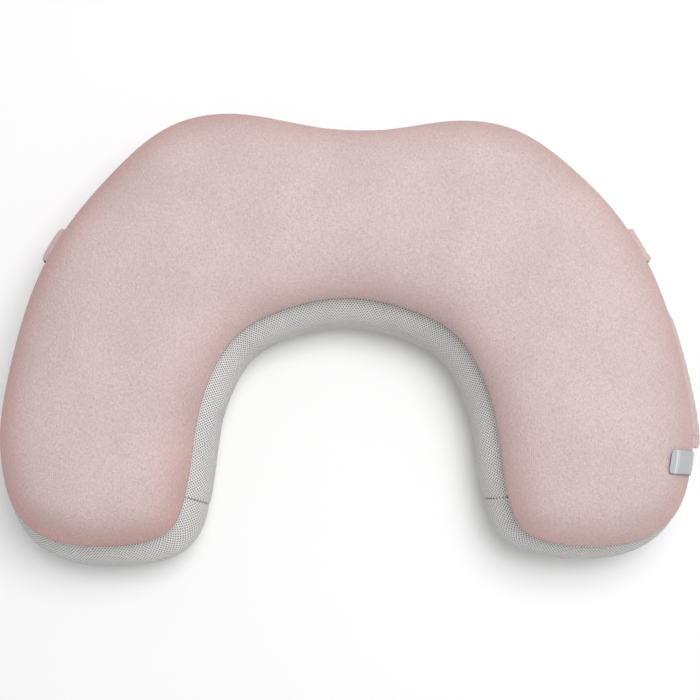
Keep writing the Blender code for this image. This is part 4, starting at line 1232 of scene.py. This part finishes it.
def make_zip(tape, nylon, metal):
    """Both tapes and both coils, and the metal of the slider, puller and stops."""
    coil_low = ZIP_MIDDLE_Z - ZIP_WEB_GAP - COIL_HEIGHT
    coil_high = ZIP_MIDDLE_Z + ZIP_WEB_GAP + COIL_HEIGHT
    foot = BASE_SEAM_Z - TAPE_TURN
    head = ZIP_SLOT_TOP_Z + TAPE_TURN
    pieces = [make_tape("zip_tape_lower_side", "zip_tape_lower", foot, coil_low + 0.0002, tape),
              make_tape("zip_tape_upper_side", "zip_tape_upper", coil_high - 0.0002, head, tape),
              make_coil("zip_teeth_lower", "zip_coil_lower", coil_low + COIL_HEIGHT / 2, COIL_LEAN, nylon),
              make_coil("zip_teeth_upper", "zip_coil_upper", coil_high - COIL_HEIGHT / 2, -COIL_LEAN, nylon)]
    for node in ("zip_slider", "zip_puller", "zip_stop_front", "zip_stop_back"):
        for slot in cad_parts[node].material_slots:
            slot.material = metal
    return pieces


# ---- Belt ----
def belt_heights(share=1.0):
    """Heights across the belt, closer together at its hems."""
    shares = np.array([0, 0.02, 0.05, 0.10, 0.15, 0.19, 0.23, 0.32, 0.41, 0.5, 0.59, 0.68, 0.77, 0.81, 0.85,
                       0.90, 0.95, 0.98, 1.0])[:, None]
    return BELT_MIDDLE_Z + (2 * shares - 1) * (BELT_WIDTH / 2) * share


def belt_bridge(s):
    """The belt runs straight over the dip at the back, so it stands away from the wall there."""
    flat = OUTLINE.look_up(OUTLINE.points, s)
    return BELT_BRIDGE * smooth_step(1 - np.abs(flat[..., 0]) / BELT_BRIDGE_WIDTH) * (flat[..., 1] > 0)


def belt_offset(s, z):
    """Inner face of the belt where it lies on the wall."""
    return wall_offset(s, z) + BELT_GAP + belt_bridge(s)


def hem_rise(z):
    """The hems' second layer of cloth."""
    to_edge = BELT_WIDTH / 2 - np.abs(z - BELT_MIDDLE_Z)
    return HEM_RISE * (1 - smooth_step((to_edge - HEM_WIDTH) / HEM_STEP))


def belt_puckers(s, z, size):
    """Small cross puckers drawn in by the stitching, strongest at the hems."""
    edge = np.abs(z - BELT_MIDDLE_Z) / (BELT_WIDTH / 2)
    wander = np.sin(2 * np.pi * s / 0.047) + 0.6 * np.sin(2 * np.pi * s / 0.029 + 1.3)
    ripple = np.sin(2 * np.pi * s / 0.0098 + 1.4 * wander)
    return size * ripple * (0.35 + 0.65 * edge ** 2) * (0.7 + 0.3 * wander / 1.6)


def loop_spots():
    """Arc lengths of the middle of the left and the right loop."""
    x, y = LOOP_POSITION
    return OUTLINE.nearest(-x, y), OUTLINE.nearest(x, y)


def belt_sheet(name, spots, offset_at, width_share, puckers, material):
    """A stretch of the belt: its two hems and its puckers, with width_share(s) of its full width."""
    def profile(s):
        heights = belt_heights(width_share(s))
        heights = np.broadcast_to(heights, (len(heights), len(s)))
        return offset_at(s, heights) + hem_rise(heights) + belt_puckers(s, heights, puckers), heights

    sheet = strip(name, spots, profile, material)
    thicken(sheet, BELT_SHEET)
    return sheet


def hem_stitches(name, spots, offset_at, puckers, thread):
    """Two rows of stitches, one along each hem."""
    rows = []
    for z in (BELT_LOW_Z + HEM_STITCH_INSET, BELT_HIGH_Z - HEM_STITCH_INSET):
        def surface(s, z=z):
            return offset_at(s, z) + hem_rise(z) + belt_puckers(s, z, puckers) + BELT_SHEET

        rows.append(stitches(name + str(len(rows)), spots, surface, z, STITCH_PITCH, thread))
    return join(name, rows)


def cross_stitches(name, s, low, high, offset_at, thread, lift):
    """A row of stitches straight across the belt at an arc length."""
    heights = np.arange(low, high, STITCH_PITCH)
    centres = settle(OUTLINE.place(s, offset_at(s, heights) + lift, heights))
    outer = settle(OUTLINE.place(s, offset_at(s, heights) + lift + 0.001, heights))
    along = np.tile([[0.0, 0.0, 1.0]], (len(heights), 1))
    return beads(name, centres, along, outer - centres, (0.0025, 0.0007, 0.0006), thread)


def make_waist_belt(knit, thread):
    """The belt round the back, between its two loops."""
    left, right = loop_spots()
    reach = LOOP_LENGTH / 2 + ROOT_CLEARANCE
    start, end = left - reach, right + reach
    spots = spread(start, end, int((end - start) / (2 * BELT_STEP)))
    belt = belt_sheet("waist_belt_band", spots, belt_offset, lambda s: 1.0, BELT_PUCKERS, knit)
    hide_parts("waist_belt")
    sewing = hem_stitches("waist_belt_stitches", (start, end), belt_offset, BELT_PUCKERS, thread)
    return belt, sewing


def corner_share(to_end):
    """Share of the belt's width left at a distance from its rounded end."""
    return BELT_TIP_SHARE + (1 - BELT_TIP_SHARE) * half_round(to_end / BELT_CORNER)


def end_spots(root, tip):
    """Arc lengths along a belt end, closer together at its rounded corners."""
    way = 1 if tip > root else -1
    length = abs(tip - root)
    body = np.linspace(0, length - BELT_CORNER, int(length / BELT_STEP))
    corner = length - BELT_CORNER * np.array([0.85, 0.7, 0.55, 0.4, 0.28, 0.17, 0.09, 0.04, 0.01, 0.0])
    return np.sort(root + way * np.concatenate([body, corner]))


def right_end_limits():
    """Arc lengths of the long end's root at its loop and of its tip."""
    root = loop_spots()[1] + LOOP_LENGTH / 2 + ROOT_CLEARANCE
    return root, OUTLINE.nearest(ARM_SIDE_X, BELT_END_RIGHT_Y)


def left_end_limits():
    """Arc lengths of the short end's root at its loop and of its tip."""
    root = loop_spots()[0] - LOOP_LENGTH / 2 - ROOT_CLEARANCE
    return root, root - BELT_END_LEFT_LENGTH


def right_end_offset(s, z):
    """The long end leans out: its top edge stays by the wall, its low edge stands away from it."""
    root, tip = right_end_limits()
    along = np.clip((s - root) / (tip - root), 0, 1)
    free = BELT_END_SPLAY * smooth_step(along / BELT_END_SPLAY_SHARE) + (1 - BELT_END_SPLAY) * along
    low_share = (BELT_HIGH_Z - z) / BELT_WIDTH
    lean = BELT_END_TOP_OFFSET + (BELT_END_LOW_OFFSET - BELT_END_TOP_OFFSET) * low_share
    hug = belt_offset(s, z)
    return hug + (lean - hug) * free


def bend_points(limits, reach=0.030):
    """Where a belt end starts to bend, at its loop, and where it is free."""
    root, tip = limits
    way = 1 if tip > root else -1
    start = OUTLINE.place(root, BEND_OFFSET, BELT_MIDDLE_Z)
    end = OUTLINE.place(root + way * reach, BEND_OFFSET, BELT_MIDDLE_Z)
    return tuple(start), tuple(end)


def make_belt_end(side, limits, offset_at, puckers, knit, thread):
    """One free end of the belt, with its hems, its stitched tip and its rounded corners."""
    root, tip = limits
    spots = end_spots(root, tip)
    band = belt_sheet("belt_end_band_" + side, spots, offset_at, lambda s: corner_share(np.abs(tip - s)),
                      puckers, knit)
    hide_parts("belt_end_" + side)
    inward = -1 if tip > root else 1
    straight = sorted((root, tip + inward * BELT_CORNER))
    hems = hem_stitches("hems", straight, offset_at, puckers, thread)

    def surface(s, z):
        return offset_at(s, z) + belt_puckers(s, z, puckers)

    crossing = [cross_stitches("across" + str(k), tip + inward * place, BELT_LOW_Z + 0.0045,
                               BELT_HIGH_Z - 0.003, surface, thread, BELT_THICKNESS - 0.0002)
                for k, place in enumerate((0.0095, 0.0120))]
    sewing = join("belt_end_stitches_" + side, [hems, *crossing])
    start, end = bend_points(limits)
    for piece in (band, sewing):
        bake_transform(piece)


def make_patch(name, node, body, start, offset_at, material):
    """A patch of hook or pile tape, sewn on near its edge."""
    spots = spread(start, start + PATCH_LENGTH, 18)

    def profile(s):
        heights = np.broadcast_to(spread(PATCH_LOW_Z, PATCH_HIGH_Z, 9)[:, None], (9, len(s)))
        return offset_at(s, heights), heights

    patch = strip(name, spots, profile, material)
    thicken(patch, PATCH_THICKNESS, 0.0003)
    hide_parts(node)
    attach(patch, body)


def make_patches(hooks, pile):
    """Hooks inside the long end and pile outside the short end."""
    tip = right_end_limits()[1]
    make_patch("hook_tape_patch", "hook_patch", "long_belt_end", tip - PATCH_INSET - PATCH_LENGTH,
               lambda s, z: right_end_offset(s, z) - PATCH_GAP - PATCH_THICKNESS, hooks)
    tip = left_end_limits()[1]
    make_patch("pile_tape_patch", "pile_patch", "short_belt_end", tip + PATCH_INSET,
               lambda s, z: belt_offset(s, z) + BELT_THICKNESS + PATCH_GAP, pile)


def smooth_path(path, count):
    """Points along a path of (offset, z), evenly spread on a smooth curve through it."""
    knots = np.array(path)
    at = way_along(knots)
    fine = np.linspace(0, at[-1], 10 * count)
    curve = np.stack([np.interp(fine, at, knots[:, k]) for k in range(2)], axis=1)
    window = np.hanning(2 * count // 3 + 3)
    window /= window.sum()
    pad = len(window) // 2
    first = 2 * curve[0] - curve[1:pad + 1][::-1]
    last = 2 * curve[-1] - curve[-pad - 1:-1][::-1]
    padded = np.vstack([first, curve, last])
    even = np.stack([np.convolve(padded[:, k], window, mode="valid") for k in range(2)], axis=1)
    return even[np.linspace(0, len(even) - 1, count).astype(int)]


def loop_offsets(side, path, across):
    """Offset of the loop's band, row by row: a rounded arch on the left, a flatter one on the right."""
    proud, rounding, hem = LOOP_SHAPES[side]
    inward = LOOP_DRAW_IN * (1 - half_round((1 - np.abs(across)) / rounding))
    bead = hem * np.exp(-((np.abs(across) - 0.86) / 0.11) ** 2)
    share = np.sin(np.pi * spread(0, 1, len(path)))[:, None]
    return path[:, :1] * (1 + (proud - 1) * share - inward * share) + bead * share


def make_loops(knit, thread):
    """The two belt loops, each sewn down above and below the belt."""
    pieces = []
    path = smooth_path(LOOP_PATH[::-1], 30)
    for side, middle in zip(("left", "right"), loop_spots()):
        def profile(s, side=side, middle=middle):
            offsets = loop_offsets(side, path, (s - middle) / (LOOP_LENGTH / 2))
            return offsets, np.broadcast_to(path[:, 1:], offsets.shape)

        spots = spread(middle - LOOP_LENGTH / 2, middle + LOOP_LENGTH / 2, 49)
        loop = strip("belt_loop_band_" + side, spots, profile, knit)
        thicken(loop, LOOP_THICKNESS)
        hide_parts("belt_loop_" + side)
        ends = (middle - LOOP_LENGTH / 2 + 0.001, middle + LOOP_LENGTH / 2 - 0.001)
        rows = []
        for k in LOOP_STITCH_ROWS:
            def surface(s, k=k, profile=profile):
                return profile(s)[0][k] + LOOP_THICKNESS

            rows.append(stitches("row" + str(k), ends, surface, path[k, 1], STITCH_PITCH, thread))
        sewing = join("belt_loop_stitches_" + side, rows)
        pieces += [loop, sewing]
    return pieces


# ---- Labels ----
def side_edge(y):
    """The right arm's outer edge at each y: its x, and the length of a step in x per unit outwards."""
    side = OUTLINE.points[(OUTLINE.points[:, 0] > 0.30) & (OUTLINE.points[:, 1] < -0.15)]
    x = np.interp(y, side[::-1, 1], side[::-1, 0])
    slope = (np.interp(y + 0.002, side[::-1, 1], side[::-1, 0]) - x) / 0.002
    return x, np.sqrt(1 + slope * slope)


def tag_path():
    """The tag's section from inside the seam over the roll, and the way along it to each point."""
    path = [*TAG_ROOT_PATH, (TOP_SEAM_OFFSET / 4, 0.0985), (TOP_SEAM_OFFSET / 8 + TAG_GAP, 0.1015)]
    for degrees in range(0, TAG_TOP_DEGREES + 1, 2):
        path.append(roll_row(degrees, TAG_GAP * (0.6 + 0.5 * math.sin(math.radians(degrees)))))
    return np.array(path), way_along(path)


def make_side_tag(material):
    """A folded tag that comes out of the top seam and lies over the rolled edge."""
    path, at = tag_path()
    half = (TAG_HIGH_Y - TAG_LOW_Y) / 2
    cut = TAG_CORNER * (1 - half_round((at[-1] - at) / TAG_CORNER))
    across = spread(1, -1, TAG_COLUMNS)
    y = (TAG_LOW_Y + TAG_HIGH_Y) / 2 + across[None, :] * (half - cut[:, None])
    lift = 0.0003 * np.sin(np.pi * at / at[-1])[:, None] * (1 - across[None, :] ** 2)
    edge_x, lean = side_edge(y)
    x = edge_x + (path[:, :1] + lift) * lean
    places = settle(np.stack([x, y, path[:, 1:] + lift + 0.0 * y], axis=-1))
    faces, grid = grid_faces(len(path), TAG_COLUMNS)
    uvs = [(across[c] * half, at[r] - at[-1]) for spot in grid for r, c in spot]
    tag = mesh_object("folded_side_tag", places, faces, uvs, material)
    thicken(tag, TAG_THICKNESS, 0.0003)
    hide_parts("side_tag")
    return tag


def make_care_label(material):
    """A blank care label sewn into the base seam at the back."""
    middle = OUTLINE.nearest(CARE_LABEL_X, BACK_POINTS[1][1])
    spots = spread(middle - CARE_LABEL_LENGTH / 2, middle + CARE_LABEL_LENGTH / 2, 12)
    path = smooth_path([(OUTER_FLARE + offset, z) for offset, z in CARE_LABEL_PATH], 8)

    def profile(s):
        curl = 0.0006 * np.sin(np.pi * (s - spots[0]) / CARE_LABEL_LENGTH)
        return path[:, :1] + curl, np.broadcast_to(path[:, 1:], (len(path), len(s)))

    label = strip("blank_care_label", spots, profile, material)
    thicken(label, CARE_LABEL_THICKNESS, 0.0002)
    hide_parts("care_label")
    return label


# ---- Studio ----
def make_floor():
    """A plain pale floor."""
    cloth = Cloth("studio_floor", 0.9)
    tone = cloth.between(cloth.noise(cloth.solid, 0.4, 2), 0.3, 0.7, *FLOOR_TONES)
    cloth.finish(cloth.grey(tone))
    reach = FLOOR_REACH
    places = [(-reach, -reach, 0), (reach, -reach, 0), (reach, reach, 0), (-reach, reach, 0)]
    floor = mesh_object("studio_floor", places, [(0, 1, 2, 3)], None, cloth.material)
    floor.location.z = -FLOOR_GAP


def make_light(name, place, target, size, power):
    """A round soft light aimed at a point."""
    data = bpy.data.lights.new(name, "AREA")
    data.shape = "DISK"
    data.size = size
    data.energy = power
    lamp = bpy.data.objects.new(name, data)
    lamp.location = place
    lamp.rotation_euler = (Vector(target) - Vector(place)).to_track_quat("-Z", "Y").to_euler()
    bpy.context.scene.collection.objects.link(lamp)


def make_studio():
    """An even white sky and one large soft light overhead."""
    world = bpy.data.worlds.new("studio_world")
    world.use_nodes = True
    sky = world.node_tree.nodes["Background"]
    sky.inputs["Color"].default_value = (1.0, 1.0, 1.0, 1.0)
    sky.inputs["Strength"].default_value = WORLD_STRENGTH
    bpy.context.scene.world = world
    make_light("overhead_softbox", OVERHEAD_PLACE, OVERHEAD_TARGET, OVERHEAD_SIZE, OVERHEAD_POWER)
    bpy.context.scene.view_settings.view_transform = "Standard"


def make_camera():
    """The camera, almost straight above and a little towards the open side of the U."""
    data = bpy.data.cameras.new("camera")
    data.lens = CAMERA_LENS
    data.sensor_width = SENSOR_WIDTH
    camera = bpy.data.objects.new("camera", data)
    tilt = math.radians(CAMERA_TILT_DEGREES)
    x, y, z = CAMERA_TARGET
    camera.location = (x, y - CAMERA_DISTANCE * math.sin(tilt), z + CAMERA_DISTANCE * math.cos(tilt))
    camera.rotation_euler = (tilt, 0, 0)
    bpy.context.scene.collection.objects.link(camera)
    bpy.context.scene.camera = camera


def make_zip_hem(thread):
    """The row of stitches along the mesh wall above the zip."""
    return stitches("zip_hem_stitches", zip_slot_ends(), lambda s: wall_offset(s, ZIP_HEM_Z) + 0.0004,
                    ZIP_HEM_Z, STITCH_PITCH, thread)


def fix_to_root(pieces_of_slots):
    """Attach pieces to the cover. pieces_of_slots holds (slot, pieces)."""
    for slot, pieces in pieces_of_slots:
        for piece in pieces:
            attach(piece, "root")


def main():
    """Studio, cover, insert, zip, belt and labels, in that order."""
    make_camera()
    make_floor()
    make_studio()
    knit = pink_knit()
    band = band_knit()
    thread = sewing_thread("pink_thread", THREAD)
    grey_thread = sewing_thread("grey_thread", YARN)
    panel = make_top_panel(knit)
    walls = make_walls(spacer_mesh())
    base = make_base_panel(woven("base_cloth", YARN, YARN_LIGHT, 0.0013))
    inserts = make_insert(nonwoven(), open_foam())
    zips = make_zip(woven("zip_tape", YARN, YARN_LIGHT, 0.0009, slant=45), coil_nylon(), lacquered_metal())
    belts = make_waist_belt(band, thread)
    make_belt_end("right", right_end_limits(), right_end_offset, LONG_END_PUCKERS, band, thread)
    make_belt_end("left", left_end_limits(), belt_offset, SHORT_END_PUCKERS, band, thread)
    make_patches(hook_and_pile("hook_tape", 0.0011), hook_and_pile("pile_tape", 0.0018))
    loops = make_loops(band, thread)
    tag = make_side_tag(tag_weave())
    label = make_care_label(woven("label_cloth", LINING, LINING_LIGHT, 0.0006, 0.6))
    hem = make_zip_hem(grey_thread)
    fix_to_root((("pink_knit", (panel, *belts, *loops)), ("grey_spacer_mesh", (*walls, hem)),
                 ("base_cloth", (base,)), ("insert_lining", inserts[:2]), ("foam", inserts[2:]),
                 ("zip_tape", zips[:2]), ("zip_coil", zips[2:]), ("tag_cloth", (tag,)),
                 ("label_cloth", (label,))))


main()
